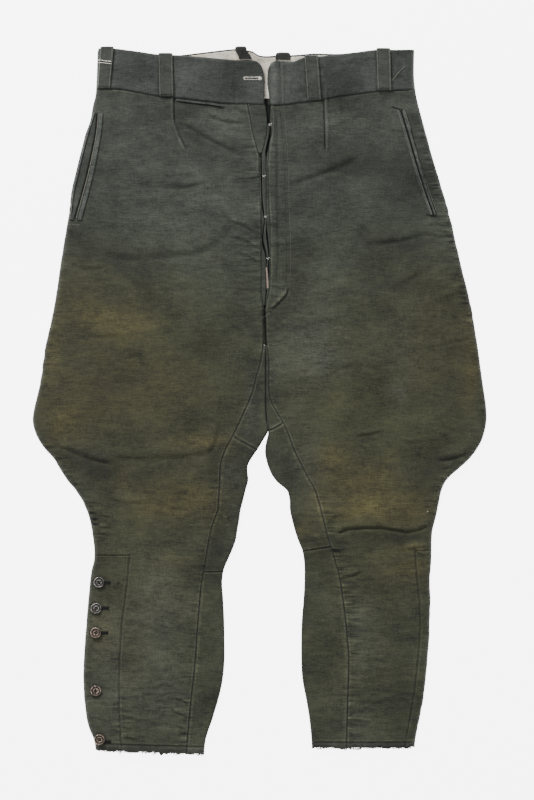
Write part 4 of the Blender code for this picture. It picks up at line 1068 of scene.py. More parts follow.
def plain_finish(name, colour, roughness, metallic=0.0, variation=0.5, lump=3.0):
    """Make a finish of one colour, uneven in tone and roughness."""
    finish = Finish(name, roughness, metallic)
    cloudy = finish.noise(lump, detail=3.0)
    tone = 1.0 + variation * 2.0 * (cloudy - 0.5)
    greyer = tuple(0.8 * part + 0.2 * colour[1] for part in colour[:3]) + (1.0,)
    finish.put(finish.shader.inputs["Base Color"], finish.scaled(finish.mix(cloudy, greyer, colour), tone))
    finish.put(finish.shader.inputs["Roughness"], (roughness - 0.12) + 0.24 * cloudy)
    finish.bump(cloudy, 0.08)
    return finish.material


def metal_finish(name, bright):
    """Make a worn stamped metal: brown in the hollows, bright on the rim."""
    finish = Finish(name, 0.42, 1.0)
    tarnish = finish.noise(2.6, detail=3.0)
    worn = (finish.mask("rubbed") * (0.12 + 1.3 * tarnish.above(0.42, 0.6))).limited()
    colour = finish.mix(tarnish.above(0.35, 0.7), tint(0.060, 0.050, 0.042), tint(0.020, 0.016, 0.013))
    colour = finish.mix(worn, colour, bright)
    finish.put(finish.shader.inputs["Base Color"], colour)
    finish.put(finish.shader.inputs["Roughness"], 0.62 - 0.25 * worn)
    finish.put(finish.shader.inputs["Metallic"], (0.55 + 0.45 * worn).limited())
    finish.bump(tarnish, 0.10)
    return finish.material


DARK_THREAD = plain_finish("dark sewing thread", tint(0.013, 0.013, 0.011), 0.85)
DULL_THREAD = plain_finish("faded sewing thread", tint(0.100, 0.102, 0.078), 0.8)
CREAM_THREAD = plain_finish("cream thread", tint(0.80, 0.76, 0.66), 0.75, variation=0.15)
PIPING_CLOTH = plain_finish("rubbed piping", tint(0.165, 0.168, 0.125), 0.9, variation=0.4)
SHADOW_CLOTH = plain_finish("unlit inner cloth", tint(0.004, 0.004, 0.004), 0.95)
TAPE_CLOTH = plain_finish("faded stay tape", tint(0.30, 0.22, 0.18), 0.9, variation=0.3)
COLD_METAL = metal_finish("worn grey button metal", tint(0.31, 0.295, 0.275))
WARM_METAL = metal_finish("worn brown button metal", tint(0.42, 0.32, 0.255))
print("small finishes made")

# %% [markdown]
# ## From grid to cloth
# A piece of cloth is a closed wall: an upper skin, a lower skin, and an edge all round. The chosen cells of a
# grid give both skins, and wherever a cell's neighbour isn't chosen an edge face closes the gap. Doing this
# with whole arrays keeps a leg of a hundred thousand faces quick.

# %% Close a grid into a wall
TAKES_PLACE_OF = {}


def wall_faces(keep, number, layer):
    """List the faces of a closed wall over the kept cells."""
    i, j = np.nonzero(keep)
    quads = np.stack([number[i, j], number[i + 1, j], number[i + 1, j + 1], number[i, j + 1]], 1)
    faces = [quads, quads[:, ::-1] + layer]
    around = np.pad(keep, 1)
    rows, columns = keep.shape
    corners = [(0, 0), (1, 0), (1, 1), (0, 1)]
    beside = [(0, -1), (1, 0), (0, 1), (-1, 0)]
    for turn, (down, right) in enumerate(beside):
        neighbour = around[1 + down:1 + down + rows, 1 + right:1 + right + columns]
        i, j = np.nonzero(keep & ~neighbour)
        (a, b), (c, d) = corners[turn], corners[(turn + 1) % 4]
        start, stop = number[i + a, j + b], number[i + c, j + d]
        faces.append(np.stack([stop, start, start + layer, stop + layer], 1))
    return np.concatenate(faces)


def outward(points, faces):
    """Turn the faces so that they look out of the closed shape."""
    a, b, c, d = (points[faces[:, k]] for k in range(4))
    volume = np.einsum("ij,ij->i", a, np.cross(b, c)).sum() + np.einsum("ij,ij->i", a, np.cross(c, d)).sum()
    return faces if volume > 0 else faces[:, ::-1]


def make_piece(name, points, faces, material, node=None, slot="trouser_cloth", values=None, sharp=42.0):
    """Make a named object from points in millimetres, dress it and let it ride on the frame."""
    mesh = bpy.data.meshes.new(name)
    mesh.from_pydata((np.asarray(points) * MM).tolist(), [], [list(face) for face in faces])
    for key, numbers in (values or {}).items():
        layer = mesh.attributes.new(key, "FLOAT", "POINT")
        layer.data.foreach_set("value", np.asarray(numbers, dtype=np.float32))
    mesh.shade_smooth()
    mesh.set_sharp_from_angle(angle=math.radians(sharp))
    mesh.materials.append(material)
    piece = bpy.data.objects.new(name, mesh)
    bpy.context.scene.collection.objects.link(piece)
    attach(piece, "root")
    if node:
        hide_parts(node)
        TAKES_PLACE_OF[node] = piece
    return piece


def cloth_piece(name, outside, inside, material, node, slot, keep=None, side=None, **marks):
    """Make one piece of cloth from two grids of points, with its stains, painted shade and painted highlight.
    """
    if keep is None:
        keep = np.ones((outside.shape[0] - 1, outside.shape[1] - 1), bool)
    used = np.zeros(outside.shape[:2], bool)
    for down in (0, 1):
        for right in (0, 1):
            used[down:used.shape[0] - 1 + down, right:used.shape[1] - 1 + right] |= keep
    number = np.cumsum(used.ravel()).reshape(used.shape) - 1
    layer = int(used.sum())
    points = np.concatenate([outside[used], inside[used]])
    faces = outward(points, wall_faces(keep, number, layer))
    values = {}
    if side:
        for kind in STAIN_KINDS:
            values[kind] = stain_share(points[:, 0], points[:, 1], side, kind)
    for key, share in marks.items():
        values[key] = np.concatenate([np.clip(share, 0.0, 1.0)[used], np.zeros(layer)])
    return make_piece(name, points, faces, material, node, slot, values)


# %% [markdown]
# ## Cut the legs
# The grids are cut into the pieces that a tailor would sew: the front panel, the back panel that lies on the
# table, the gusset at the fork, the strip inside the knee, the buttoned placket of the calf and the hem
# binding. The height above the smooth cloth sets the colour: seam edges rub paler, the ridges of creases and
# puckers get a painted highlight, and their troughs a painted shade.

# %% Cut each leg along its seams
ABOVE_CALF = ["thigh", "crotch", "gusset seam", "knee", "placket seam"]
WHOLE_LEG = ABOVE_CALF + ["upper calf", "patch seam", "calf"]
KNEE_STRIP = {"right": ["knee", "placket seam", "upper calf", "patch seam"], "left": ["knee", "patch seam"]}
CALF_SIDE = {"right": ["upper calf", "patch seam", "calf"], "left": ["patch seam", "calf"]}
HEM_ZONES = ["side", "side seam", "front", "inseam", "wrap", "turn seam", "floor"]


def leg_cuts(side):
    """Say which zones and parts each piece of a leg takes."""
    return {
        "front": {"front": WHOLE_LEG, "inseam": WHOLE_LEG, "side": ABOVE_CALF, "side seam": WHOLE_LEG},
        "placket": {"side": CALF_SIDE[side]},
        "gusset": {"wrap": ["crotch", "gusset seam"]},
        "inner_knee": {"wrap": KNEE_STRIP[side]},
        "back": {"floor": WHOLE_LEG, "wrap": ["calf"], "turn seam": ["calf"]},
        "hem": {zone: ["hem seam", "hem"] for zone in HEM_ZONES},
    }


DRESS = {"front": (TROUSER_CLOTH, "trouser_cloth"), "placket": (TROUSER_CLOTH, "trouser_cloth"),
         "gusset": (INNER_LEG_CLOTH, "inner_leg_cloth"), "inner_knee": (INNER_LEG_CLOTH, "inner_leg_cloth"),
         "back": (TROUSER_CLOTH, "trouser_cloth"), "hem": (BINDING_CLOTH, "binding_cloth")}


BUTTONS = [(-225.1, -253.8), (-229.0, -290.1), (-229.6, -324.4), (-229.6, -405.6), (-224.6, -474.0)]
BUTTON_SHADE = 8.6
# How rubbed the ridge beside each cross seam is, and how much darker the seam line is
SEAM_WEAR = {"gusset seam": (0.9, 0.8), "patch seam": (0.35, 0.6), "hem seam": (0.6, 0.55)}
LONG_SEAM_WEAR = {
    # how rubbed the ridge beside it is, how far off it is, its width, how much darker the seam line is, its
    # width
    "front": (0.9, 2.0, 0.8, 1.0, 0.9),
    "side": (0.4, 2.0, 0.8, 0.5, 0.9),
    "waist": (0.6, 2.8, 1.0, 0.9, 1.1),
}
SHARP_FOLD = 4.6
FAR = 99.0


def pucker_share(x, y, side):
    """Give how strongly the cloth is drawn into puckers at each point."""
    share = np.zeros(x.shape)
    for number, (line, toward, start, stop, height, reach, length) in enumerate(PUCKERS[side]):
        away = (x - LINES[side][line](y)) * INWARD[side] * toward
        fade = ease(away / 1.5) * bell(np.maximum(away, 0.0), reach)
        strength = 0.6 + 0.4 * ripple(y / (3.0 * length), 130 + number)
        share = np.maximum(share, 1.5 * height * within(y, start, stop) * fade * strength)
    return share


def relief_marks(sheet, side):
    """Give how pale and how dark the top is: ridges as wear and painted highlight, hollows as painted shade.
    """
    x, y, z = (sheet["outside"][:, :, axis] for axis in range(3))
    lines = LINES[side]
    on_top = z > 3.0
    folds, puckers = crease_height(x, y, side), pucker_height(x, y, side)
    sharp_folds = crease_height(x, y, side, SHARP_FOLD)
    # Crease and pucker ridges are painted paler as highlight; their troughs darker as painted shade.
    rubbed = 0.8 * ease((sharp_folds - 0.3) / 2.2) + 0.1 * ease(folds / 2.2)
    rubbed += 0.4 * ease((puckers - 0.08) / 0.7)
    soiled = 0.40 * ease(-folds / 2.4) + 0.45 * ease(-sharp_folds / 2.2) + 0.5 * ease((-puckers - 0.03) / 0.6)

    uneven = 0.6 + 0.4 * ripple(y / 9.0, 92)
    from_seam = {"front": np.abs(x - lines["front"](y)), "waist": straight(WAIST_SEAM[side], x) - y,
                 "side": np.abs(x - lines["side"](y)) + FAR * (y > -215.0)}
    for seam, (worn, ridge_at, ridge_width, dirt, dirt_width) in LONG_SEAM_WEAR.items():
        rubbed += worn * uneven * bell(from_seam[seam] - ridge_at, ridge_width)
        soiled += dirt * bell(from_seam[seam], dirt_width)
    zone = np.array(sheet["zones"])
    for top, part in PARTS[side]:
        if part in SEAM_WEAR:
            away = np.abs(sheet["levels"] - top)[:, None]
            where = np.ones(len(zone)) if part == "hem seam" else (zone == "wrap") * 1.0
            worn, dirt = SEAM_WEAR[part]
            rubbed += worn * where * bell(away - 2.4, 0.8)
            soiled += dirt * where * bell(away, 1.0)
    # A painted shadow ring on the cloth round each calf button.
    if side == "right":
        for button_x, button_y in BUTTONS:
            soiled += 0.7 * bell(np.hypot(x - button_x, y - button_y) - BUTTON_SHADE, 1.3)

    # Painted shade where the cloth turns down at the outer and inner edges, and a painted dark rim right at
    # them.
    to_rim = (x - lines["outer"](y)) * INWARD[side] + OUTER_SWELL
    to_turn = (lines["inner"](y) - x) * INWARD[side] + INNER_SWELL + FAR * (y > 60.0)
    edge_shade = 0.6 * bell(to_rim, 3.5) + 0.5 * bell(to_turn, 3.0)
    return {"rubbed": on_top * rubbed, "soiled": on_top * soiled + edge_shade,
            "puckered": on_top * pucker_share(x, y, side),
            "rim": 0.9 * bell(to_rim, 1.7) + 0.9 * bell(to_turn, 1.5)}


for side, sheet in SHEETS.items():
    zones = np.array(sheet["zones"][:-1])
    parts = np.array(sheet["parts"][:-1])
    marks = relief_marks(sheet, side)
    for piece, zone_parts in leg_cuts(side).items():
        keep = np.zeros((len(parts), len(zones)), bool)
        for zone, part_names in zone_parts.items():
            keep |= np.isin(parts, part_names)[:, None] & (zones == zone)[None, :]
        material, slot = DRESS[piece]
        if piece == "hem" and side == "right":
            material = WORN_BINDING_CLOTH
        made = cloth_piece(f"{piece}_{side}_cloth", sheet["outside"], sheet["inside"], material,
                           f"{piece}_{side}", slot, keep, side, **marks)
        print(made.name, len(made.data.polygons), "faces")

# %% [markdown]
# ## Waistband
# The front waistbands are stiffened with canvas, so they lie flatter than the legs and stand a little above
# them. Each is a grid from the rolled side edge to the fly, with more lines near the edges so that they can
# be rounded. The left one ends in a rolled facing with a groove beside it; the right one ends in a rounded
# corner, with a faint seam where the end piece was joined.

# %% Waistband tables: x and y at the seam, x and y at the top edge
BANDS = {
    "right": [
        (-205.1, 437.6, -205.1, 493.9), (-172.0, 432.7, -172.0, 489.3), (-142.1, 427.0, -142.1, 485.1),
        (-114.1, 424.2, -114.1, 484.0), (-80.0, 420.2, -80.0, 481.0), (-48.3, 416.5, -48.3, 478.2),
        (-27.3, 415.9, -27.3, 476.6), (-11.9, 415.8, -11.9, 476.8), (-4.9, 415.8, -4.9, 475.4),
        (0.3, 415.7, 0.2, 471.8), (3.6, 415.7, 3.6, 466.2), (5.4, 415.7, 5.6, 458.5),
        (6.4, 415.7, 6.7, 449.0),
    ],
    "left": [
        (14.7, 414.7, 16.4, 473.4), (21.7, 414.5, 23.1, 476.2), (28.7, 414.4, 30.1, 475.2),
        (45.5, 416.1, 45.5, 474.6), (64.4, 418.6, 62.3, 480.9), (84.7, 422.0, 84.1, 482.2),
        (105.0, 425.3, 105.0, 484.7), (135.0, 430.0, 135.0, 488.2), (165.9, 434.0, 161.7, 491.4),
        (196.0, 435.8, 194.0, 491.9),
    ],
}
BAND_WRINKLES = {
    # ridge height, width, path
    "right": [(0.7, 6.0, [(-198.0, 462.0), (-180.0, 456.0), (-163.0, 448.0)]),
              (-0.6, 7.0, [(-190.0, 476.0), (-168.0, 472.0), (-150.0, 462.0)]),
              (0.4, 9.0, [(-100.0, 468.0), (-70.0, 452.0), (-52.0, 430.0)])],
    "left": [(-0.7, 8.0, [(118.0, 478.0), (138.0, 470.0), (150.0, 452.0)]),
             (0.6, 6.0, [(100.0, 440.0), (124.0, 446.0), (150.0, 440.0)]),
             (0.5, 5.0, [(184.0, 452.0), (200.0, 468.0), (212.0, 480.0)]),
             (-0.6, 4.0, [(45.5, 420.0), (47.0, 445.0), (46.0, 470.0)])],
}
FRONT_LOOPS = [
    # name, centre at the foot, centre at the top, width
    ("belt_loop_side_right", -218.3, -213.8, 18.5),
    ("belt_loop_front_right", -130.4, -132.0, 20.0),
    ("belt_loop_front_left", 76.4, 72.0, 19.5),
    ("belt_loop_side_left", 174.4, 172.8, 19.5),
]
# How far the left waistband's front edge bows, by its share of the way up
FLY_BOW = [(0.0, -0.5), (0.16, -1.7), (0.31, -3.0), (0.45, -4.7), (0.72, -4.9), (0.87, -4.0), (0.96, -1.6),
           (1.0, 0.0)]
BAND_LAP = 0.4
GROOVE_X = 28.7
END_SEAM_X = -35.7

# %% Build the front waistbands


def top_row(side, wanted):
    """Give the x and y of a leg's top edge over some of its zones, from left to right."""
    sheet = SHEETS[side]
    chosen = [k for k, zone in enumerate(sheet["zones"]) if zone in wanted]
    row = sheet["outside"][0][chosen]
    return row[np.argsort(row[:, 0])]


def near_both_ends(total, steps, offsets):
    """Give places from 0 to total with a few close to either end."""
    inner = np.linspace(offsets[-1], total - offsets[-1], steps)
    return np.concatenate([[0.0], offsets[:-1], inner, total - np.array(offsets[:-1])[::-1], [total]])


def band_height(x, y, side):
    """Height of a front waistband's middle."""
    height = cloth_height(x, y, side) + BAND_RISE
    for ridge, width, path in BAND_WRINKLES[side]:
        away, along, length = beside_path(path, x, y)
        ends = ease(along / 12.0 + 0.2) * ease((length - along) / 12.0 + 0.2)
        height += ridge * bell(away, width) * ends
    height += 0.22 * cloud(x / 9.0, y / 16.0, 33) + 0.10 * cloud(x / 3.0, y / 20.0, 34)
    if side == "left":
        height += 0.7 * bell(x - 21.5, 5.0) - 1.9 * bell(x - GROOVE_X, 1.0)
    else:
        height -= 0.45 * bell(x - END_SEAM_X, 1.0)
    return height


def front_band(side):
    """Build one front waistband, rolled over the side edge."""
    inward = INWARD[side]
    roll = OUTER_ROLL + OUTER_SWELL + 0.5
    seam = top_row(side, ("side", "side seam", "front", "inseam"))
    low_x, high_x = BANDS[side][0][0], BANDS[side][-1][0]
    feet = low_x + near_both_ends(high_x - low_x, 82, (0.4, 0.9, 1.7))
    feet = feet if side == "right" else feet[::-1]
    foot_y = np.interp(feet, seam[:, 0], seam[:, 1]) - BAND_LAP
    head_x = table_curve(BANDS[side], 2)(feet)
    head_y = table_curve(BANDS[side], 3)(feet)
    edge_foot = (seam[0] if side == "right" else seam[-1])[1] - BAND_LAP
    edge_head = head_y[0] + 0.3
    rows = near_both_ends(1.0, 22, (0.012, 0.026, 0.046))[:, None]
    depth = np.minimum(rows, 1.0 - rows) * (edge_head - edge_foot)
    to_fly = np.abs(feet - feet[-1])[None, :]
    edge_y = edge_foot + (edge_head - edge_foot) * rows
    edge_x = LINES[side]["outer"](edge_y) - inward * OUTER_SWELL
    angle = np.linspace(0.0, math.pi / 2.0, ROLL_STEPS + 1)[None, :]
    rise = band_height(edge_x + inward * roll, edge_y, side)
    dip = seam_lip(depth)
    roll_out = grid(edge_x + inward * roll * (1 - np.cos(angle)), edge_y, (rise + dip) * np.sin(angle))
    roll_in = grid(edge_x + inward * (roll - (roll - BAND) * np.cos(angle)), edge_y,
                   (rise - BAND) * np.sin(angle))
    x = feet + (head_x - feet) * rows
    if side == "left":
        x = x + table_curve(FLY_BOW, 1)(rows) * np.exp(-(feet - feet[-1]) / 7.0)
    y = foot_y + (head_y - foot_y) * rows
    z = band_height(x, y, side)
    lip = seam_lip(np.minimum(depth, to_fly + 0.15))
    outside = np.concatenate([roll_out, grid(x, y, z + lip)], 1)
    inside = np.concatenate([roll_in, grid(x, y, np.minimum(z - BAND, z + lip - 1.2))], 1)
    x_out, y_out = outside[:, :, 0], outside[:, :, 1]
    # Paler band edges, partly wear and partly painted highlight; painted shade in the groove and beside each
    # belt  loop, and a painted dark rim along the edges.
    worn = 0.45 * np.exp(-np.minimum(depth, 8.0) / 1.2) * (0.6 + 0.4 * ripple(x_out / 7.0, 37))
    groove = END_SEAM_X if side == "right" else GROOVE_X
    soiled = 0.7 * bell(x_out - groove, 1.2)
    for _, loop_foot, loop_head, width in FRONT_LOOPS:
        centre = loop_foot + (loop_head - loop_foot) * (y_out - 425.0) / 60.0
        soiled += 0.9 * bell(np.abs(x_out - centre) - width / 2.0 - 0.7, 1.0)
    rolled = roll_out.shape[1]
    rim = 0.5 * bell(depth, 0.9) + 0 * x_out
    rim[:, :rolled] += 0.9 * bell(roll_out[:, :, 0] - edge_x, 1.7)
    rim[:, rolled:] += 0.8 * bell(to_fly, 0.9)
    # The left band's top corner and ridges by its groove are paler, partly wear and partly painted highlight;
    # a darker line runs at x = 34.
    if side == "left":
        worn += 0.8 * bell(x_out - 17.5, 2.2) * ease((y_out - 455.0) / 14.0)
        worn += 0.35 * bell(x_out - GROOVE_X - 2.0, 0.9) + 0.45 * bell(x_out - 19.0, 4.0)
        soiled += 0.5 * bell(x_out - 34.0, 0.9)
    return cloth_piece(f"waistband_{side}_cloth", outside, inside, BAND_CLOTH, f"waistband_{side}",
                       "waistband_cloth", side=side, rubbed=worn, soiled=soiled, rim=rim)


for side in ("right", "left"):
    print(front_band(side).name, "made")

# %% [markdown]
# ## Inside the waist
# Behind the open fly and above the front waistband the back waistband shows, with its cream cotton lining.
# The lining is turned under along its foot, and a row of stitches holds it there. Cotton is softer than the
# outer cloth, so it gets its own small creases.

# %% Back waistband and lining
BACK_TOP = [(-221.9, 488.6), (-181.3, 485.8), (-142.1, 483.0), (-109.9, 485.1), (-65.1, 490.4),
            (-49.0, 492.4), (-35.0, 493.6), (-22.7, 492.6), (-10.4, 490.2), (-2.1, 485.0), (4.6, 483.8),
            (9.1, 483.6), (14.0, 483.6), (19.6, 484.0), (31.8, 484.4), (44.1, 484.7), (58.0, 485.8),
            (74.9, 487.5), (105.7, 486.6), (161.7, 488.6), (210.7, 490.0)]
BACK_SIDES = (-222.0, 210.6)
LINING_SIDES = (-208.0, 197.0)
LINING_FOOT = 424.0
LINING_INSET = 2.6
BACK_LOOPS = [
    # name, centre, width, end of the tab that shows, lean of its top
    ("belt_loop_back_right", -20.6, 17.5, 478.6, -6.0),
    ("belt_loop_back_left", 31.8, 22.0, 477.6, 0.6),
]
BACK_LIFT = 1.9
LIFT_REACH = 13.0

back_seam = np.concatenate([top_row(side, ("floor", "end")) for side in ("right", "left")])


def back_lift(x):
    """Raise the back waistband over the belt loops that pass under it."""
    lift = np.zeros(np.shape(x))
    for _, centre, width, _, _ in BACK_LOOPS:
        away = np.abs(x - centre) - width / 2.0 - 1.0
        lift = np.maximum(lift, BACK_LIFT * (1.0 - ease(away / LIFT_REACH)))
    return lift


def flat_band(name, material, slot, sides, foot, head, bottom, thickness, rough):
    """Build a flat band on the floor side, lifted over the back belt loops."""
    x = np.linspace(*sides, 150)[None, :]
    share = near_both_ends(1.0, 16, (0.01, 0.022, 0.04))[:, None]
    y = foot(x) + (head(x) - foot(x)) * share
    low = bottom + back_lift(x)
    edge = np.minimum(share, 1.0 - share) * 60.0
    high = low + thickness + rough(x, y) - 0.35 * thickness * bell(edge, 0.8)
    # The back waistband gets painted shade all over; the lining gets none.
    soil = np.full(high.shape, 1.0 if material is BAND_CLOTH else 0.0)
    return cloth_piece(f"{name}_cloth", grid(x, y, high), grid(x, y, low), material, name, slot, soiled=soil)


def back_foot(x):
    """Give the foot of the back waistband, just above the back panels."""
    return np.interp(x, back_seam[:, 0], back_seam[:, 1]) + SEAM_GAP


def back_head(x):
    """Give the top edge of the back waistband."""
    return np.interp(x, [at for at, _ in BACK_TOP], [height for _, height in BACK_TOP])


flat_band("waistband_back", BAND_CLOTH, "waistband_cloth", BACK_SIDES, back_foot, back_head, 0.0, CLOTH,
          lambda x, y: 0.0 * y)
flat_band("waistband_lining", LINING_CLOTH, "lining_cloth", LINING_SIDES,
          lambda x: np.maximum(LINING_FOOT, back_foot(x) - SEAM_GAP + 4.0),
          lambda x: back_head(x) - LINING_INSET, CLOTH + SEAM_GAP, LINING,
          lambda x, y: 0.22 * cloud(x / 7.0, y / 18.0, 41) + 0.12 * cloud(x / 3.0, y / 3.0, 42) + 0.1)
print("back waistband from", back_foot(0.0).round(1), "to", back_head(0.0).round(1))

# %% [markdown]
# ## Finding the cloth under a thing
# Loops, pocket edges, buttons and stitches all lie on cloth that isn't flat. A ray shot straight down finds
# how high the cloth is at a place. Testing a few places round it makes sure that a stiff piece rests on the
# highest of them instead of cutting through a fold.

# %% Rays onto the cloth


class ClothTop:
    """The upper surface of some pieces, to lay other things on."""

    def __init__(self, pieces):
        points, faces = [], []
        for piece in pieces:
            count = len(points)
            points.extend(v.co[:] for v in piece.data.vertices)
            faces.extend([count + corner for corner in face.vertices] for face in piece.data.polygons)
        self.tree = BVHTree.FromPolygons(points, faces)

    def at(self, x, y, reach=0.0, missing=0.0):
        """Give the height at a place, or the highest within a reach of it."""
        best = missing
        for turn in range(9 if reach else 1):
            dx = reach * math.cos(turn * math.pi / 4.0) if turn else 0.0
            dy = reach * math.sin(turn * math.pi / 4.0) if turn else 0.0
            hit = self.tree.ray_cast(Vector((x + dx, y + dy, 60.0)) * MM, Vector((0.0, 0.0, -1.0)))[0]
            if hit is not None:
                best = max(best, hit.z / MM)
        return best

    def over(self, x, y, reach=0.0):
        """Give the heights over whole arrays of places."""
        x, y = np.broadcast_arrays(x, y)
        return np.array([self.at(a, b, reach) for a, b in zip(x.ravel(), y.ravel())]).reshape(x.shape)


body_cloth = ClothTop([TAKES_PLACE_OF[node] for node in
                       [f"{part}_{side}" for side in ("right", "left")
                        for part in ("front", "placket", "gusset", "inner_knee", "hem", "waistband")]])
print("cloth at the right knee is", round(body_cloth.at(-130.0, -120.0), 1), "mm high")

# %% [markdown]
# ## Belt loops
# A belt loop is a doubled strip, stitched along both edges, sewn at its foot and folded over the band's top.
# The stitching draws the edges down and leaves a low ridge inside each one. Front loops lie on the band; the
# two back ones hook over the back band, and only their tops show.

# %% Front belt loops
LOOP_TURN = 2.6
LOOP_CLEAR = 0.6


def loop_profile(across, width):
    """Give the raised edges of a stitched strip; across runs from -0.5 to 0.5."""
    edge = (0.5 - np.abs(across)) * width
    ridge = 0.5 * bell(edge - 1.3, 0.8)
    return ridge - 0.5 * bell(edge, 0.55) - 0.3 * bell(edge - 3.0, 0.7)


def loop_wear(across, width, rows):
    """Give how rubbed the raised edges of a strip are."""
    edge = (0.5 - np.abs(across)) * width
    uneven = 0.75 + 0.25 * ripple(np.arange(rows) / 3.0, 48)[:, None]
    return 0.9 * bell(edge - 1.4, 0.8)[None, :] * uneven


ACROSS = np.concatenate([np.linspace(-0.5, -0.3, 11), np.linspace(-0.26, 0.26, 9), np.linspace(0.3, 0.5, 11)])


def loop_ends(name, x_foot, x_head):
    """Give the height of the waist seam at a loop's foot and of the band's edge at its top."""
    rows = BANDS[name.rsplit("_", 1)[1]]
    return float(straight(rows, x_foot)), float(straight([(row[2], row[3]) for row in rows], x_head))


def front_loop(name, x_foot, x_head, width):
    """Sew a belt loop onto a front waistband and fold it over the top edge."""
    foot, head = loop_ends(name, x_foot, x_head)
    foot += LOOP_CLEAR
    runs = [(share, 0.0) for share in np.linspace(0.0, 0.99, 26)]
    runs += [(1.0, turn) for turn in np.linspace(0.0, math.pi / 2.0, 7)]
    share = np.array([run[0] for run in runs])[:, None]
    bend = np.array([run[1] for run in runs])[:, None]
    y_on = foot + (head - foot) * share
    x = x_foot + (x_head - x_foot) * share + width * ACROSS[None, :]
    under = body_cloth.over(x, np.minimum(y_on, head - 5.0), 1.6) + 1.5 * SEAM_GAP
    over = share >= 1.0
    out_y = np.where(over, head + 0.5 + (LOOP_TURN - 0.5) * np.sin(bend), y_on)
    in_y = np.where(over, head + 0.5 + (LOOP_TURN - 0.5 - LOOP) * np.sin(bend), y_on)
    bulge = 0.45 * np.sin(math.pi * np.clip(share, 0.0, 1.0)) + 0.15 * cloud(x / 6.0, y_on / 9.0, 47)
    end_dip = -0.8 * bell(y_on - foot, 0.8)
    rounded = 1.1 * (2.0 * np.abs(ACROSS[None, :])) ** 8 * share ** 6
    out_y, in_y = out_y - rounded, in_y - rounded
    out_z = under + bulge + LOOP + loop_profile(ACROSS, width)[None, :] + end_dip
    out_z -= LOOP_TURN * (1.0 - np.cos(bend))
    in_z = under + bulge * 0.8 - (LOOP_TURN - LOOP) * (1.0 - np.cos(bend))
    return cloth_piece(f"{name}_cloth", grid(x, out_y, out_z), grid(x, in_y, in_z), LOOP_CLOTH, name,
                       "waistband_cloth", rubbed=loop_wear(ACROSS, width, len(share)))


front_loops = [front_loop(*row) for row in FRONT_LOOPS]
print(len(front_loops), "front loops")

# %% Back belt loops
BACK_LOOP_FOOT = 423.0


def back_loop(name, centre, width, tab_end, lean):
    """Hook a belt loop over the back waistband: under the band, over its edge, down the lining."""
    reach = np.linspace(centre - width / 2.0, centre + width / 2.0, 9)
    head = float(back_head(reach).max()) + 0.8
    top = BACK_LIFT + CLOTH + LINING + 3.0 * SEAM_GAP + 0.35
    high, turn = (top + LOOP) / 2.0, 3.0
    path = [(y, 0.0, y, LOOP) for y in np.linspace(BACK_LOOP_FOOT, head - 16.0, 12)]
    for angle in np.linspace(0.0, math.pi, 17):
        path.append((head + turn * math.sin(angle), high - high * math.cos(angle),
                     head + (turn - LOOP) * math.sin(angle), high - (high - LOOP) * math.cos(angle)))
    path += [(y, top + LOOP, y, top) for y in np.linspace(head - 1.5, tab_end, 5)]
    rows = np.array(path)
    at_top = ease((rows[:, :1] - head + 14.0) / 14.0)
    x = centre + lean * at_top + width * ACROSS[None, :] * (1.0 - 0.06 * at_top)
    corner = 2.2 * (2.0 * np.abs(ACROSS[None, :])) ** 6 * at_top ** 3
    crown = 1.1 * np.cos(math.pi * ACROSS[None, :]) * at_top * (rows[:, 1:2] > high)
    lift = loop_profile(ACROSS, width)[None, :] * (rows[:, 1:2] > high) + crown
    outside = grid(x, rows[:, 0:1] - corner, rows[:, 1:2] + lift)
    inside = grid(x, rows[:, 2:3] - corner, rows[:, 3:4])
    # The back loops are painted darker all over, as painted shade.
    return cloth_piece(f"{name}_cloth", outside, inside, BAND_CLOTH, name, "waistband_cloth",
                       soiled=np.full(x.shape, 0.75))


back_loops = [back_loop(*row) for row in BACK_LOOPS]
print(len(back_loops), "back loops")

# %% [markdown]
# ## Pockets and the watch pocket
# Each side pocket is a slit between two narrow welts, thin folded strips that bind its edges. The right
# pocket sits at the very edge of the leg, so its back welt is a wider strip that follows the rolled edge. The
# mouth itself is a thin strip of painted shadow between the welts, and a second one beside each pocket is a
# painted shadow line along its seam. The watch pocket under the waistband only shows its folded lip, with a
# strip of painted shadow at its mouth.

# %% Welts and painted shadow in the pocket mouths
WELTS = [
    # name, width, path
    ("pocket_welt_front_right", 6.6, [(-222.6, 402.5), (-224.8, 376.9), (-230.0, 346.9), (-236.2, 316.8),
                                      (-243.0, 289.0), (-252.8, 254.0)]),
    ("pocket_welt_front_left", 3.4, [(193.4, 407.0), (203.8, 372.4), (216.0, 330.6), (227.7, 293.2),
                                     (240.0, 260.4)]),
    ("pocket_welt_back_left", 4.4, [(201.0, 406.6), (210.9, 372.8), (222.7, 331.8), (234.0, 294.0),
                                    (245.0, 261.0)]),
    ("watch_pocket_lip", 3.2, [(-117.0, 421.4), (-100.0, 419.2), (-83.3, 417.2), (-66.0, 415.2),
                               (-51.0, 412.6)]),
]
RIGHT_SLIT = [(403.4, -228.9), (377.0, -231.2), (347.0, -236.9), (317.0, -243.4), (289.0, -250.8),
              (259.0, -259.4), (254.0, -260.6)]
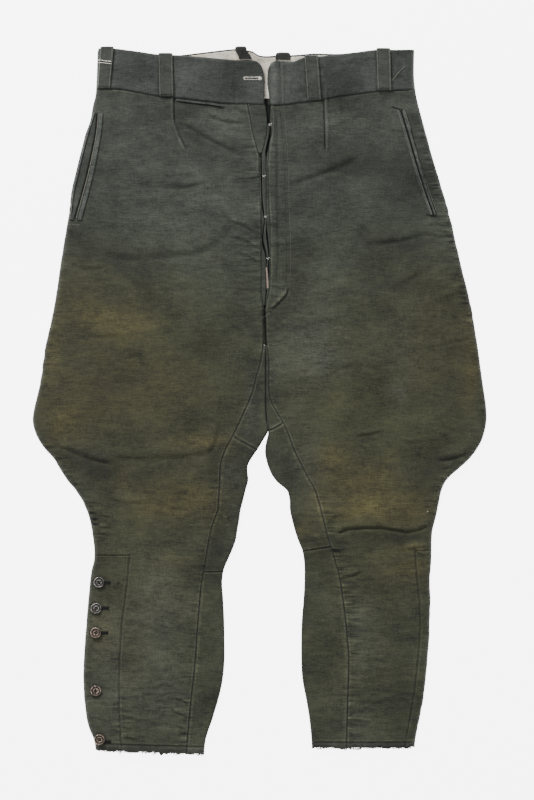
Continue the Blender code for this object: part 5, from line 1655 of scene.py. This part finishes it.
# Strips of painted shadow in unlit cloth: the pocket mouths, and dark lines beside the pockets' seams.
MOUTHS = [
    # name, width, path
    ("pocket_mouth_right", 2.0, [(-227.6, 402.5), (-229.9, 376.9), (-235.6, 346.9), (-242.1, 316.8),
                                 (-249.5, 289.0), (-258.6, 256.5)]),
    ("pocket_seam_right", 1.5, [(-230.4, 402.5), (-238.6, 376.9), (-247.1, 344.7), (-254.7, 312.6),
                                (-260.0, 289.0), (-263.2, 263.3)]),
    ("pocket_mouth_left", 2.4,
     [(197.2, 406.4), (207.3, 373.1), (219.3, 331.8), (231.2, 294.0), (243.2, 260.6)]),
    ("pocket_seam_left", 1.2,
     [(203.8, 406.8), (213.6, 373.0), (225.2, 332.4), (236.2, 294.9), (246.8, 262.0)]),
    ("watch_pocket_mouth", 0.9, [(-110.0, 418.3), (-100.0, 417.0), (-83.3, 415.0), (-66.0, 413.0),
                                 (-54.0, 411.3)]),
]
WELT_SHAPE = np.array([-0.5, -0.46, -0.38, -0.2, 0.0, 0.2, 0.38, 0.46, 0.5])
WELT_ROUND = np.array([-0.55, -0.22, 0.0, 0.06, 0.05, 0.06, 0.0, -0.22, -0.55])


def dense_path(path, step):
    """Fill a path with points a step apart, and give the direction at each."""
    corners = np.array(path, dtype=float)
    run = np.concatenate([[0.0], np.cumsum(np.hypot(*np.diff(corners, axis=0).T))])
    places = np.linspace(0.0, run[-1], max(3, round(run[-1] / step) + 1))
    curves = [table_curve(list(zip(run, corners[:, axis])), 1) for axis in (0, 1)]
    points = np.stack([curve(places) for curve in curves], 1)
    along = np.gradient(points, axis=0)
    return points, along / np.hypot(along[:, :1], along[:, 1:])


def strip_grid(path, width, thickness, lift, puckered=0.0, reach=0.9):
    """Lay a narrow strip along a path on the cloth and give its upper and lower grids."""
    points, along = dense_path(path, 2.0)
    off = width * WELT_SHAPE[None, :]
    x = points[:, :1] - along[:, 1:] * off
    y = points[:, 1:] + along[:, :1] * off
    under = body_cloth.over(x, y, reach) + lift
    pucker = puckered * ripple(np.arange(len(points)) / 2.3, 61)[:, None]
    top = under + thickness + WELT_ROUND[None, :] * min(1.0, thickness) + pucker
    return grid(x, y, top), grid(x, y, under)


# Paler along the welt's rounded top, as wear and painted highlight, and painted shade at its edges.
WELT_RUB_AND_HIGHLIGHT = np.array([0.0, 0.1, 0.3, 0.6, 0.35, 0.6, 0.3, 0.1, 0.0])
WELT_EDGE_SHADE = np.array([1.0, 0.8, 0.25, 0.0, 0.0, 0.0, 0.25, 0.8, 1.0])
for name, width, path in WELTS:
    outside, inside = strip_grid(path, width, WELT, SEAM_GAP, 0.12)
    even = np.ones((len(outside), 1))
    cloth_piece(f"{name}_cloth", outside, inside, BAND_CLOTH, name, "trouser_cloth", rubbed=even * WELT_RUB_AND_HIGHLIGHT,
                soiled=even * WELT_EDGE_SHADE)

welt_y = np.linspace(RIGHT_SLIT[0][0], RIGHT_SLIT[-1][0], 74)[:, None]
near_x = table_curve(RIGHT_SLIT, 1)(welt_y)
far_x = LINES["right"]["outer"](welt_y) + 0.6
welt_x = near_x + (far_x - near_x) * (WELT_SHAPE[None, :] + 0.5)
welt_under = body_cloth.over(welt_x, welt_y, 0.5) + 1.2 * SEAM_GAP
welt_top = welt_under + WELT + WELT_ROUND[None, :]
cloth_piece("pocket_welt_back_right_cloth", grid(welt_x, welt_y, welt_top), grid(welt_x, welt_y, welt_under),
            LOOP_CLOTH, "pocket_welt_back_right", "trouser_cloth")

body_cloth = ClothTop(list(TAKES_PLACE_OF.values()))
for name, width, path in MOUTHS:
    outside, inside = strip_grid(path, width, 0.3, 0.1, reach=0.1)
    cloth_piece(name, outside, inside, SHADOW_CLOTH, None, "lining_cloth")

# %% [markdown]
# ## The fly
# The fly is open a little. At its top the front edge is turned back, which leaves a triangle of facing
# beside the diagonal seam. Further down a strip of inner cloth shows between the two fronts, and a faded
# stay tape near the bottom. A black sheet of painted shadow fills the gaps between the fronts and the legs.

# %% Facing, inner strip and tape
FACING = [(416.4, 7.0), (404.0, 9.0), (394.8, 10.0), (386.0, 10.0), (377.0, 9.6), (367.0, 7.6), (357.0, 5.6),
          (348.0, 3.0)]
FACING_DROP = 0.25
FLY_STRIP = [(388.0, 10.6, 13.6), (377.0, 10.0, 13.4), (367.0, 8.0, 11.4), (357.0, 5.8, 9.2),
             (348.0, 3.0, 7.8), (337.0, 3.1, 8.4), (320.0, 3.0, 8.7), (285.0, 3.3, 8.8),
             (262.0, 6.4, 8.9), (256.0, 7.2, 9.0), (243.0, 5.9, 9.1), (231.0, 4.9, 8.8),
             (225.0, 5.0, 9.4), (216.0, 7.4, 10.6), (204.0, 9.6, 12.2), (198.0, 9.9, 12.2),
             (190.0, 9.0, 11.8), (172.0, 8.8, 11.6), (156.0, 8.4, 10.6)]
FLY_STRIP_TOP = 5.8
FLY_STRIP_WALL = 1.4
FLY_TAPE = [(187.0, 8.2, 10.2), (176.0, 8.9, 11.4), (158.0, 9.9, 12.4)]
FLY_LAP = [(341.0, -3.9, 1.4), (320.0, -3.8, 1.7), (283.0, -3.6, 2.1), (262.0, -3.4, 4.6),
           (256.0, -3.3, 6.2), (243.0, -3.2, 5.0), (231.0, -3.1, 3.4), (222.0, -3.0, 2.9),
           (214.0, -3.0, 4.2), (204.0, -2.9, 7.4), (196.0, -2.8, 8.4), (180.0, -2.6, 8.0),
           (160.0, -2.5, 8.4), (150.0, -2.2, 8.2), (140.0, -1.8, 7.2), (134.0, 3.0, 6.6)]
FLY_GAP = [(423.0, 4.0, 17.0), (350.0, 4.0, 13.0), (160.0, 5.0, 14.0), (140.0, 6.0, 12.5),
           (92.0, 7.0, 11.6), (20.0, 6.6, 10.6), (-20.0, 7.2, 11.2), (-36.0, 9.6, 13.2)]
INNER_SHEET_TOP = 2.45
FLY_EDGE = [(384.0, 17.2, 18.4), (376.0, 16.0, 18.2), (362.0, 13.6, 17.0), (351.0, 11.5, 16.0),
            (346.0, 10.2, 15.6), (336.0, 9.2, 15.0), (315.0, 9.2, 14.5), (281.0, 9.3, 14.6),
            (262.0, 9.3, 15.4), (254.0, 9.2, 15.6), (243.0, 9.9, 16.0), (231.0, 11.4, 16.4),
            (218.0, 12.7, 16.4), (204.0, 13.6, 16.4), (196.0, 13.3, 16.4), (172.0, 13.2, 16.4),
            (158.0, 11.2, 15.6), (150.0, 9.5, 15.0), (140.0, 8.4, 13.0), (134.0, 7.8, 11.0)]
FLY_EDGE_DROP = 0.9
FACING_WALL = CLOTH - 0.5
FLY_EDGE_WALL = 1.2
TAPE_RISE = 1.1
TAPE_WALL = 0.5
THIN_WALL = 0.3


def fly_panel(name, rows, height, thickness, material, slot, node=None, left=None):
    """Build a small flat piece from a table of heights with its left and right edge at each."""
    high, low = rows[0][0], rows[-1][0]
    left, right = left or table_curve(rows, 1), table_curve(rows, -1)
    y = np.linspace(high, low, max(12, round((high - low) / 2.2)))[:, None]
    share = near_both_ends(1.0, 8, (0.03, 0.07, 0.13))[None, :]
    x = left(y) + (right(y) - left(y)) * share
    z = height(x, y)
    edge = np.minimum(share, 1.0 - share) * np.abs(right(y) - left(y))
    top = z - 0.5 * thickness * bell(edge, 0.5)
    return cloth_piece(name, grid(x, y, top), grid(x, y, z - thickness), material, node, slot)


def below_cloth(side, drop):
    """Give a height that stays just below a leg's top cloth."""
    return lambda x, y: cloth_height(x, y + 0 * x, side) - drop


fly_panel("fly_facing_right_cloth", FACING, below_cloth("right", FACING_DROP), FACING_WALL, TROUSER_CLOTH,
          "trouser_cloth", "fly_facing_right", shifted(LINES["right"]["front"], 1.5 * SEAM_GAP))
fly_panel("fly_strip_right_cloth", FLY_STRIP,
          lambda x, y: FLY_STRIP_TOP + 0.35 * cloud(x / 2.0, y / 14.0, 63),
          FLY_STRIP_WALL, LOOP_CLOTH, "binding_cloth", "fly_strip_right")
# A thin sheet of unlit cloth under the gaps: painted shadow between the fronts and between the legs.
fly_shadow = fly_panel("fly_inner_shadow", FLY_GAP, lambda x, y: INNER_SHEET_TOP, THIN_WALL, SHADOW_CLOTH,
                       "lining_cloth")
fly_lap = fly_panel("fly_lap_right", FLY_LAP, below_cloth("right", FLY_EDGE_DROP), FLY_EDGE_WALL,
                    TROUSER_CLOTH, "trouser_cloth")
fly_edge = fly_panel("fly_edge_left", FLY_EDGE, below_cloth("left", FLY_EDGE_DROP), FLY_EDGE_WALL,
                     TROUSER_CLOTH, "trouser_cloth")
fly_tape = fly_panel("fly_stay_tape", FLY_TAPE, lambda x, y: FLY_STRIP_TOP + TAPE_RISE, TAPE_WALL, TAPE_CLOTH,
                     "lining_cloth")
print("fly made, tape at", FLY_TAPE[0][0], "mm")

# %% [markdown]
# ## Calf buttons
# Five stamped metal buttons close the calf. Each is a shallow dish with a rolled rim and four holes. A lathe
# profile gives the dish, four small drills cut the holes, and two bars of thread hold it on.

# %% Turn and drill a button
BUTTON_TURNS = [-8.0, 20.0, 38.0, 45.0, 12.0]
BUTTON_LOOKS = [COLD_METAL, COLD_METAL, WARM_METAL, WARM_METAL, WARM_METAL]
BUTTON_PROFILE = [
    # radius, height, how bright the wear is
    (0.0, 0.0, 0.0), (5.4, 0.0, 0.0), (6.6, 0.25, 0.1), (7.3, 0.8, 0.1), (7.55, 1.4, 0.2), (7.4, 2.0, 0.5),
    (6.95, 2.4, 0.9), (6.4, 2.45, 0.9), (5.9, 2.2, 0.4), (5.5, 1.7, 0.0), (4.9, 1.3, 0.0), (4.3, 1.4, 0.3),
    (3.6, 1.75, 0.9), (2.9, 1.75, 0.8), (1.6, 1.5, 0.5), (0.0, 1.5, 0.3),
]
BUTTON_SIDES = 40
HOLE_RADIUS = 1.0
HOLE_PLACES = 1.9
DRILL_LENGTH = 9.0


def lathe_points(profile, sides):
    """Give the points, faces and wear of a turned shape."""
    points, faces, wear, rings = [], [], [], []
    for radius, height, bright in profile:
        ring = []
        for turn in range(sides if radius else 1):
            angle = math.tau * turn / sides
            beads = 0.07 * math.cos(20 * angle) * (radius > 5.7) * (height > 2.0)
            ring.append(len(points))
            points.append((radius * math.cos(angle), radius * math.sin(angle), height + beads))
            wear.append(bright)
        rings.append(ring)
    for low, high in zip(rings, rings[1:]):
        for turn in range(sides):
            after = (turn + 1) % sides
            corners = [low[turn % len(low)], low[after % len(low)]]
            corners += [high[after % len(high)], high[turn % len(high)]]
            faces.append([c for k, c in enumerate(corners) if c not in corners[:k]])
    return points, faces, wear


def hole_place(turn, number):
    """Give where one of a turned button's four holes is, from its middle."""
    angle = math.radians(turn) + math.pi / 4.0 + number * math.pi / 2.0
    return HOLE_PLACES * math.cos(angle), HOLE_PLACES * math.sin(angle)


def drilled(piece, turn):
    """Cut the four thread holes through a button."""
    drills = bmesh.new()
    for number in range(4):
        made = bmesh.ops.create_cone(drills, cap_ends=True, segments=14, radius1=HOLE_RADIUS * MM,
                                     radius2=HOLE_RADIUS * MM, depth=DRILL_LENGTH * MM)
        away = Vector((*hole_place(turn, number), 1.5)) * MM
        bmesh.ops.translate(drills, verts=made["verts"], vec=away + piece_middle(piece))
    drill_mesh = bpy.data.meshes.new("drills")
    drills.to_mesh(drill_mesh)
    drills.free()
    drill = bpy.data.objects.new("drills", drill_mesh)
    bpy.context.scene.collection.objects.link(drill)
    cut = piece.modifiers.new("holes", "BOOLEAN")
    cut.object = drill
    cut.operation = "DIFFERENCE"
    cut.solver = "EXACT"
    seen = piece.evaluated_get(bpy.context.evaluated_depsgraph_get())
    finished = bpy.data.meshes.new_from_object(seen)
    piece.modifiers.clear()
    piece.data = finished
    bpy.data.objects.remove(drill)


def piece_middle(piece):
    """Give the middle of a piece's foot in metres."""
    low = min(v.co.z for v in piece.data.vertices)
    foot = piece.data.vertices[0].co
    return Vector((foot.x, foot.y, low))


def calf_button(number, x, y, turn):
    """Turn, drill and place one calf button."""
    base = max(body_cloth.at(x, y, 5.0), body_cloth.at(x, y, 7.4)) + SEAM_GAP
    points, faces, wear = lathe_points(BUTTON_PROFILE, BUTTON_SIDES)
    placed = [(x + px, y + py, base + pz) for px, py, pz in points]
    look = BUTTON_LOOKS[number - 1]
    piece = make_piece(f"calf_button_{number}_metal", placed, faces, look, f"calf_button_{number}",
                       "button_metal", {"rubbed": wear}, 50.0)
    drilled(piece, turn)
    return base


button_feet = [calf_button(number + 1, x, y, BUTTON_TURNS[number]) for number, (x, y) in enumerate(BUTTONS)]
print("buttons stand at", [round(base, 1) for base in button_feet], "mm")

# %% [markdown]
# ## Sewing
# Every seam here was stitched, and the thread is what tells the eye that two pieces are joined. A stitch is a
# short arched tube that dips into the cloth at both ends. A run of them follows a seam line or a path of its
# own. All the stitches of one thread become one mesh, which keeps the scene light.

# %% One stitch, and runs of them
TUBE_SIDES = 5
all_cloth = ClothTop(list(TAKES_PLACE_OF.values()))


class Thread:
    """Stitches of one thread, gathered into one mesh."""

    def __init__(self, name, material, radius, slot):
        self.name = name
        self.material = material
        self.radius = radius
        self.slot = slot
        self.points = []
        self.faces = []
        self.dice = np.random.default_rng(len(name))

    def tube(self, path, radius=None):
        """Add one tube through points in millimetres."""
        path = [Vector(point) for point in path]
        radius = radius or self.radius
        first = len(self.points)
        for index, point in enumerate(path):
            along = (path[min(index + 1, len(path) - 1)] - path[max(index - 1, 0)]).normalized()
            sideways = along.cross(Vector((0.0, 0.0, 1.0)))
            sideways = sideways.normalized() if sideways.length > 0.01 else Vector((1.0, 0.0, 0.0))
            above = sideways.cross(along)
            thin = 0.6 if index in (0, len(path) - 1) else 1.0
            for turn in range(TUBE_SIDES):
                angle = math.tau * turn / TUBE_SIDES
                around = sideways * math.cos(angle) + above * math.sin(angle)
                self.points.append(point + radius * thin * around)
        for index in range(len(path) - 1):
            low, high = first + index * TUBE_SIDES, first + (index + 1) * TUBE_SIDES
            for turn in range(TUBE_SIDES):
                after = (turn + 1) % TUBE_SIDES
                self.faces.append([low + turn, low + after, high + after, high + turn])
        last = first + (len(path) - 1) * TUBE_SIDES
        self.faces.append(list(range(first, first + TUBE_SIDES))[::-1])
        self.faces.append(list(range(last, last + TUBE_SIDES)))

    def stitch(self, x0, y0, x1, y1, arch=None, reach=0.0):
        """Add one stitch between two places on the cloth."""
        arch = self.radius * 0.9 if arch is None else arch
        path = []
        for share in (0.0, 0.25, 0.5, 0.75, 1.0):
            x, y = x0 + (x1 - x0) * share, y0 + (y1 - y0) * share
            height = all_cloth.at(x, y, reach) + arch * math.sin(math.pi * share)
            path.append((x, y, height - self.radius * 0.5))
        self.tube(path)

    def run(self, path, length=2.6, gap=0.7):
        """Stitch along a path."""
        points, along = dense_path(path, 1.0)
        total = len(points) - 1
        at = 0.0
        while at + length < total:
            size = length * self.dice.uniform(0.85, 1.1)
            ends = [min(total, max(0, round(at))), min(total, round(at + size))]
            (x0, y0), (x1, y1) = points[ends[0]], points[ends[1]]
            drift = self.dice.uniform(-0.12, 0.12, 2)
            self.stitch(x0 + drift[0], y0, x1 + drift[1], y1)
            at += size + gap

    def along(self, side, line, offset, start, stop):
        """Stitch beside one of a leg's lines, this far toward the inner leg."""
        ys = np.linspace(start, stop, max(4, round(abs(start - stop) / 8.0)))
        xs = LINES[side][line](ys) + INWARD[side] * offset
        self.run(list(zip(xs, ys)))

    def lay(self, path, step, radius, lift=0.0, wave=0.0, rate=0.0, aside=0.0, lowest=0.0):
        """Lay one long thread on the cloth beside a path, waving up and down a little."""
        points, along = dense_path(path, step)
        placed = [(x - uy * aside, y + ux * aside) for (x, y), (ux, uy) in zip(points, along)]
        self.tube([(x, y, max(lowest, all_cloth.at(x, y) + lift + wave * math.sin(rate * number)))
                   for number, (x, y) in enumerate(placed)], radius)

    def piece(self):
        """Turn the gathered stitches into one object."""
        print(self.name, len(self.faces), "faces")
        return make_piece(self.name, [tuple(point) for point in self.points], self.faces, self.material,
                          slot=self.slot, sharp=60.0)


# %% Seams sewn with dark and faded thread
dull = Thread("stitches_faded", DULL_THREAD, 0.30, "trouser_cloth")
dark = Thread("stitches_dark", DARK_THREAD, 0.30, "trouser_cloth")

SEAM_RUNS = [
    # thread, side, line, how far toward the inner leg, from, to
    (dull, "right", "front", 2.4, 62.0, -56.0), (dull, "right", "front", -2.0, -80.0, -212.0),
    (dull, "right", "front", -2.0, -245.0, -478.0), (dull, "left", "front", 2.3, 20.0, -36.0),
    (dull, "left", "front", -1.9, -46.0, -205.0), (dull, "left", "front", 1.9, -215.0, -474.0),
    (dark, "right", "front", -2.2, 340.0, 110.0), (dark, "right", "side", -2.0, -221.0, -478.0),
    (dull, "right", "side", 2.1, -221.0, -478.0), (dark, "left", "side", 2.0, -214.0, -474.0),
]
for thread, *seam in SEAM_RUNS:
    thread.along(*seam)

STITCH_INSET = 1.6
PLACKET_TOP = -217.0
CROSS_SEAMS = [
    # side, height at the inner edge, climb toward the front
    ("right", -67.2, 22.4), ("left", -40.6, 11.8), ("right", -239.4, 0.0), ("left", -210.0, 7.0),
]
FLY_STITCH = [(32.9, 414.4), (36.4, 382.2), (39.2, 337.4), (41.0, 281.4), (42.7, 225.4), (42.7, 182.0),
              (41.3, 166.6), (36.4, 151.2), (25.9, 137.2), (16.1, 128.0), (6.5, 130.4)]
dull.run(FLY_STITCH)
dark.run([(x - 5.5 * min(1.0, (y - 110.0) / 60.0), y) for x, y in FLY_STITCH[:-3]])
dull.run([(-14.8, 413.0), (-10.4, 385.0), (-5.4, 362.0), (0.4, 345.0)], 3.4, 0.4)
dull.run([(-18.6, 413.0), (-14.4, 388.0), (-9.4, 364.0), (-4.0, 346.0)], 3.0, 0.9)
HEM_STITCH = {"right": [(4.4, -222.0, -84.0)], "left": [(3.4, 82.0, 210.0), (7.9, 82.0, 210.0)]}
for side, rows in HEM_STITCH.items():
    for up, low_x, high_x in rows:
        xs = np.linspace(low_x, high_x, 12)
        level = PARTS[side][-2][0] + up
        dull.run([(x, float(bent_row(x, level, side))) for x in xs])

for name, x_foot, x_head, width in FRONT_LOOPS:
    foot, head = loop_ends(name, x_foot, x_head)
    foot, head = foot + STITCH_INSET, head - LOOP_CLEAR
    for edge in (-1.0, 1.0):
        reach = edge * (width / 2.0 - STITCH_INSET)
        dull.run([(x_foot + reach, foot), (x_head + reach, head)])
    dark.run([(x_foot + edge * (width / 2.0 - 1.0), foot + STITCH_INSET) for edge in (-1.0, 1.0)])

for side in ("right", "left"):
    dark.run([(x, y - 1.8) for x, y, _ in top_row(side, ("front",))[4:-2:12]])
    if side == "right":
        placket_edge, placket_seam = (LINES[side][line](PLACKET_TOP) for line in ("outer", "side"))
        for up in (2.2, -2.0):
            dark.run([(placket_edge + 4.0, PLACKET_TOP + up), (placket_seam - 1.0, PLACKET_TOP + up)])

# Each cross seam of the inner leg shows as two rows of faded thread
for side, level, climb in CROSS_SEAMS:
    front_x, inner_x = LINES[side]["front"](level), LINES[side]["inner"](level) - INWARD[side] * 4.0
    for up in (2.2, -2.2):
        dull.run([(front_x + (inner_x - front_x) * share, level + climb * (1.0 - share) + up)
                  for share in (0.06, 0.35, 0.65, 0.96)])
print("seams sewn")

# %% [markdown]
# ## Bar tacks, buttonholes and button threads
# Where a seam takes strain, the maker sews a dense bar across it: at the ends of the pockets and the foot of
# the fly. The waistband's buttonhole has a round eye at its end and is edged with cream thread; the calf ones
# are plain slits edged in dark thread, half hidden by their buttons.

# %% Bar tacks
BAR_TACKS = [
    # start, end, length of one stitch across
    ((-268.0, 247.2), (-252.5, 246.2), 2.6), ((232.8, 261.2), (247.3, 257.9), 2.4),
    ((184.5, 411.8), (200.0, 407.2), 2.6), ((2.4, 115.4), (15.0, 123.4), 3.2),
    ((4.6, 132.0), (8.8, 126.0), 2.4),
    ((-233.5, 405.6), (-222.5, 405.0), 2.2),
]
for (x0, y0), (x1, y1), size in BAR_TACKS:
    length = math.hypot(x1 - x0, y1 - y0)
    ux, uy = (x1 - x0) / length, (y1 - y0) / length
    thread = dark if x0 > 100.0 else dull
    for step in np.arange(0.0, length, 0.75):
        x, y = x0 + ux * step, y0 + uy * step
        half = size / 2.0 * thread.dice.uniform(0.8, 1.1)
        thread.stitch(x + uy * half, y - ux * half, x - uy * half, y + ux * half)

# %% Buttonholes
cream = Thread("stitches_cream", CREAM_THREAD, 0.36, "lining_cloth")


def buttonhole(thread, left, right, y, half, eye, edge):
    """Edge a slit with close stitches, with a round eye at its right end if it has one."""
    outline = []
    straight_end = right - eye
    steps = max(6, round((straight_end - left) / 0.9))
    for sign in (1.0, -1.0):
        xs = np.linspace(left, straight_end, steps)
        for x in xs if sign > 0 else xs[::-1]:
            outline.append((x, y + sign * half, 0.0, sign))
        if sign > 0 and eye:
            for angle in np.linspace(math.radians(130.0), math.radians(-130.0), 14):
                outline.append((right - eye + eye * math.cos(angle), y + eye * math.sin(angle),
                                math.cos(angle), math.sin(angle)))
    for angle in np.linspace(math.radians(250.0), math.radians(110.0), 5):
        outline.append((left + half * math.cos(angle), y + half * math.sin(angle),
                        math.cos(angle), math.sin(angle)))
    for x, y_at, nx, ny in outline:
        long = edge * thread.dice.uniform(0.6, 1.3)
        lean = thread.dice.uniform(-0.3, 0.3)
        thread.stitch(x, y_at, x + nx * long + lean, y_at + ny * long, 0.5)


WAIST_HOLE = (-21.0, 1.2, 451.4)
HOLES = [(-218.5, -208.9, -254.4), (-221.6, -211.6, -289.9), (-222.0, -212.2, -324.6),
         (-217.2, -208.2, -477.2)]
buttonhole(cream, *WAIST_HOLE, half=0.7, eye=1.3, edge=1.6)
for left, right, y in HOLES:
    buttonhole(dark, left, right, y, half=1.4, eye=0.0, edge=1.5)
# Inside each slit lies a strip of unlit cloth: painted shadow.
for number, (left, right, y) in enumerate([WAIST_HOLE] + HOLES):
    width = 1.7 if number == 0 else 3.0
    outside, inside = strip_grid([(left, y), (right, y)], width, THIN_WALL, 0.08)
    cloth_piece(f"buttonhole_slit_shadow_{number}", outside, inside, SHADOW_CLOTH, None, "lining_cloth")

# %% Threads that hold the buttons
THREAD_ARCH = [
    # share of the way from hole to hole, height above the button's foot
    (0.0, 0.7), (0.15, 1.7), (0.5, 1.95), (0.85, 1.7), (1.0, 0.7),
]
for (x, y), turn, base in zip(BUTTONS, BUTTON_TURNS, button_feet):
    for first, last in ((0, 1), (2, 3)):
        (x0, y0), (x1, y1) = hole_place(turn, first), hole_place(turn, last)
        for aside in (-0.28, 0.28):
            dark.tube([(x + x0 + (x1 - x0) * share + aside, y + y0 + (y1 - y0) * share, base + up)
                       for share, up in THREAD_ARCH])

# %% Loose white ends, tacks and lint
WHITE_LINES = [[(-227.4, 477.8), (-217.0, 475.8), (-207.6, 474.8)],
               [(-226.6, 474.0), (-217.0, 472.6), (-207.9, 471.8)]]
for path in WHITE_LINES:
    cream.lay(path, 1.4, 0.44, 0.3)
KNOT = (-0.6, 451.6)
for number in range(9):
    angle = math.radians(40.0 * number)
    x, y = KNOT[0] + 2.3 * math.cos(angle), KNOT[1] + 1.9 * math.sin(angle)
    cream.stitch(x, y, 2.0 * KNOT[0] - x + 0.6, 2.0 * KNOT[1] - y, 1.0)
FLY_TACKS = [(14.0, 387.1), (5.6, 315.0), (7.7, 258.2), (11.2, 199.4)]
for x, y in FLY_TACKS:
    for dx, dy in ((-1.8, 0.6), (-1.2, -0.8), (0.6, 1.0)):
        cream.stitch(x + dx, y + dy, x + dx + 2.4, y + dy - 0.5, 0.8, 1.8)
LINT = (234.8, -155.0)
cream.stitch(LINT[0] - 0.8, LINT[1], LINT[0] + 0.8, LINT[1] + 0.4, 0.7)
dull.run([(6.2, 427.5), (10.0, 427.4), (14.8, 427.5)], 1.8, 0.5)

# %% Piping beside the pocket slits, and the rubbed edges of the fly
piping = Thread("pocket_piping", PIPING_CLOTH, 0.72, "trouser_cloth")
LOOSE_THREAD = [(185.3, 448.5), (190.5, 455.3), (196.3, 461.6), (203.1, 468.8)]
piping.lay(LOOSE_THREAD, 1.2, 0.42, 0.35, 0.2, 0.9)
PIPED = [
    # path of the slit, how far to its left, radius
    (MOUTHS[0][2], 1.5, 0.72), (MOUTHS[2][2], -1.7, 0.6), (MOUTHS[2][2], 5.6, 0.36),
]
for path, aside, radius in PIPED:
    piping.lay(path, 3.0, radius, 0.2, 0.1, 1.7, aside)
FLY_RIMS = [
    [(4.2, 340.0), (4.1, 300.0), (4.8, 280.0), (6.6, 262.0), (7.6, 250.0)],
    [(7.3, 246.0), (7.9, 231.0), (9.4, 217.0), (11.4, 204.5)],
    [(10.8, 243.0), (12.4, 231.0), (13.6, 218.0), (14.4, 204.0)],
    [(18.2, 407.0), (19.1, 388.0), (16.8, 360.0), (13.2, 341.0), (10.6, 323.0), (10.4, 292.0)],
    [(0.6, 336.0), (0.8, 300.0), (1.4, 283.0), (3.9, 262.0), (4.4, 243.0), (2.6, 231.0), (2.2, 222.0),
     (6.6, 204.0)],
]
for path in FLY_RIMS:
    dull.lay(path, 2.5, 0.36, 0.0, 0.05, 1.3)
print(len(PIPED), "pipings and", len(FLY_RIMS), "rubbed edges")

# %% [markdown]
# ## Frayed hems
# The binding at the bottom of both legs has worn through and hangs in short hairs. Each hair is a thin bent
# tube that starts in the binding's edge. They differ in length and lean, and come in tufts.

# %% Fray
fray = Thread("hem_fray", BINDING_CLOTH, 0.40, "binding_cloth")
pale_fray = Thread("hem_fray_pale", DULL_THREAD, 0.22, "binding_cloth")
HAIRS = 260
# A loose white end that hangs from the left hem
HEM_END = [(93.6, -487.0), (92.4, -489.0), (91.0, -490.6)]


def fray_edge(side, count):
    """Hang hairs from the end of one leg."""
    level = PARTS[side][-1][0]
    low_x, high_x = sorted((float(LINES[side]["outer"](level)), float(LINES[side]["inner"](level))))
    dice = np.random.default_rng(count)
    for number in range(count):
        x = dice.uniform(low_x + 4.0, high_x - 3.0)
        tuft = 0.35 + 0.65 * max(0.0, float(ripple(np.array(x / 7.0), 83)))
        thread = pale_fray if number % 4 == 0 else fray
        y = float(bent_row(x, level, side)) + dice.uniform(0.5, 1.6)
        z = dice.uniform(1.4, 5.2)
        long, lean = dice.uniform(1.4, 5.0) * tuft, dice.uniform(-1.6, 1.6)
        thread.tube([(x, y, z), (x + 0.3 * lean, y - 0.5 * long, z + 0.2),
                     (x + lean, y - long - 0.4, max(0.6, z - 0.6)),
                     (x + 1.9 * lean, y - long - 0.7, max(0.5, z - 1.4))])


for number, side in enumerate(("right", "left")):
    fray_edge(side, HAIRS + number)
cream.lay(HEM_END, 2.0, 0.3, 0.3, lowest=1.0)
for thread in (dull, dark, cream, piping, fray, pale_fray):
    thread.piece()

# %% [markdown]
# ## Any CAD solid that still shows
# Every cloth solid now has its own dressed piece. This cell makes sure that none was forgotten.

# %% Check that every node is dressed
bare = [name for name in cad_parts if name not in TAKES_PLACE_OF]
print("nodes without a dressed piece:", bare)

# %% [markdown]
# ## What each piece was cut from
# A pattern maker states the flat size of each piece before it was sewn. These are the sizes of what shows, all
# round where a piece goes round the edge of the leg, without the cloth that is turned into the seams. Loops,
# welts and other narrow strips are counted with the panel that they are sewn to.

CUTS = [
    # piece, width and length in metres, area in square metres, what it lies on
    ("front_right", 0.335, 0.925, 0.2000, "back_right"),
    ("front_left", 0.320, 0.918, 0.1910, "back_left"),
    ("back_right", 0.345, 0.925, 0.2350, "table"),
    ("back_left", 0.330, 0.918, 0.2270, "table"),
    ("gusset_right", 0.055, 0.150, 0.0040, "back_right"),
    ("gusset_left", 0.030, 0.120, 0.0017, "back_left"),
    ("inner_knee_right", 0.080, 0.197, 0.0077, "back_right"),
    ("inner_knee_left", 0.095, 0.183, 0.0083, "back_left"),
    ("placket_right", 0.070, 0.266, 0.0142, "back_right"),
    ("placket_left", 0.040, 0.270, 0.0050, "back_left"),
    ("hem_right", 0.012, 0.320, 0.0037, "table"),
    ("hem_left", 0.010, 0.290, 0.0028, "table"),
    ("waistband_right", 0.245, 0.062, 0.0148, "waistband_lining"),
    ("waistband_left", 0.215, 0.062, 0.0130, "waistband_lining"),
    ("waistband_back", 0.435, 0.070, 0.0277, "table"),
    ("waistband_lining", 0.406, 0.062, 0.0228, "waistband_back"),
]


def wall_area(piece):
    """Give half the surface of a thin closed piece, in square metres."""
    return sum(face.area for face in piece.data.polygons) / 2.0


for name, width, length, area, under in CUTS:
    piece = TAKES_PLACE_OF[name]
    print(name, "cut", area, "m2, sewn", round(wall_area(piece), 4), "m2")

# %% [markdown]
# ## Finish
# The dressed trousers must stay the size of the solids.

# %% End
print("scene built")
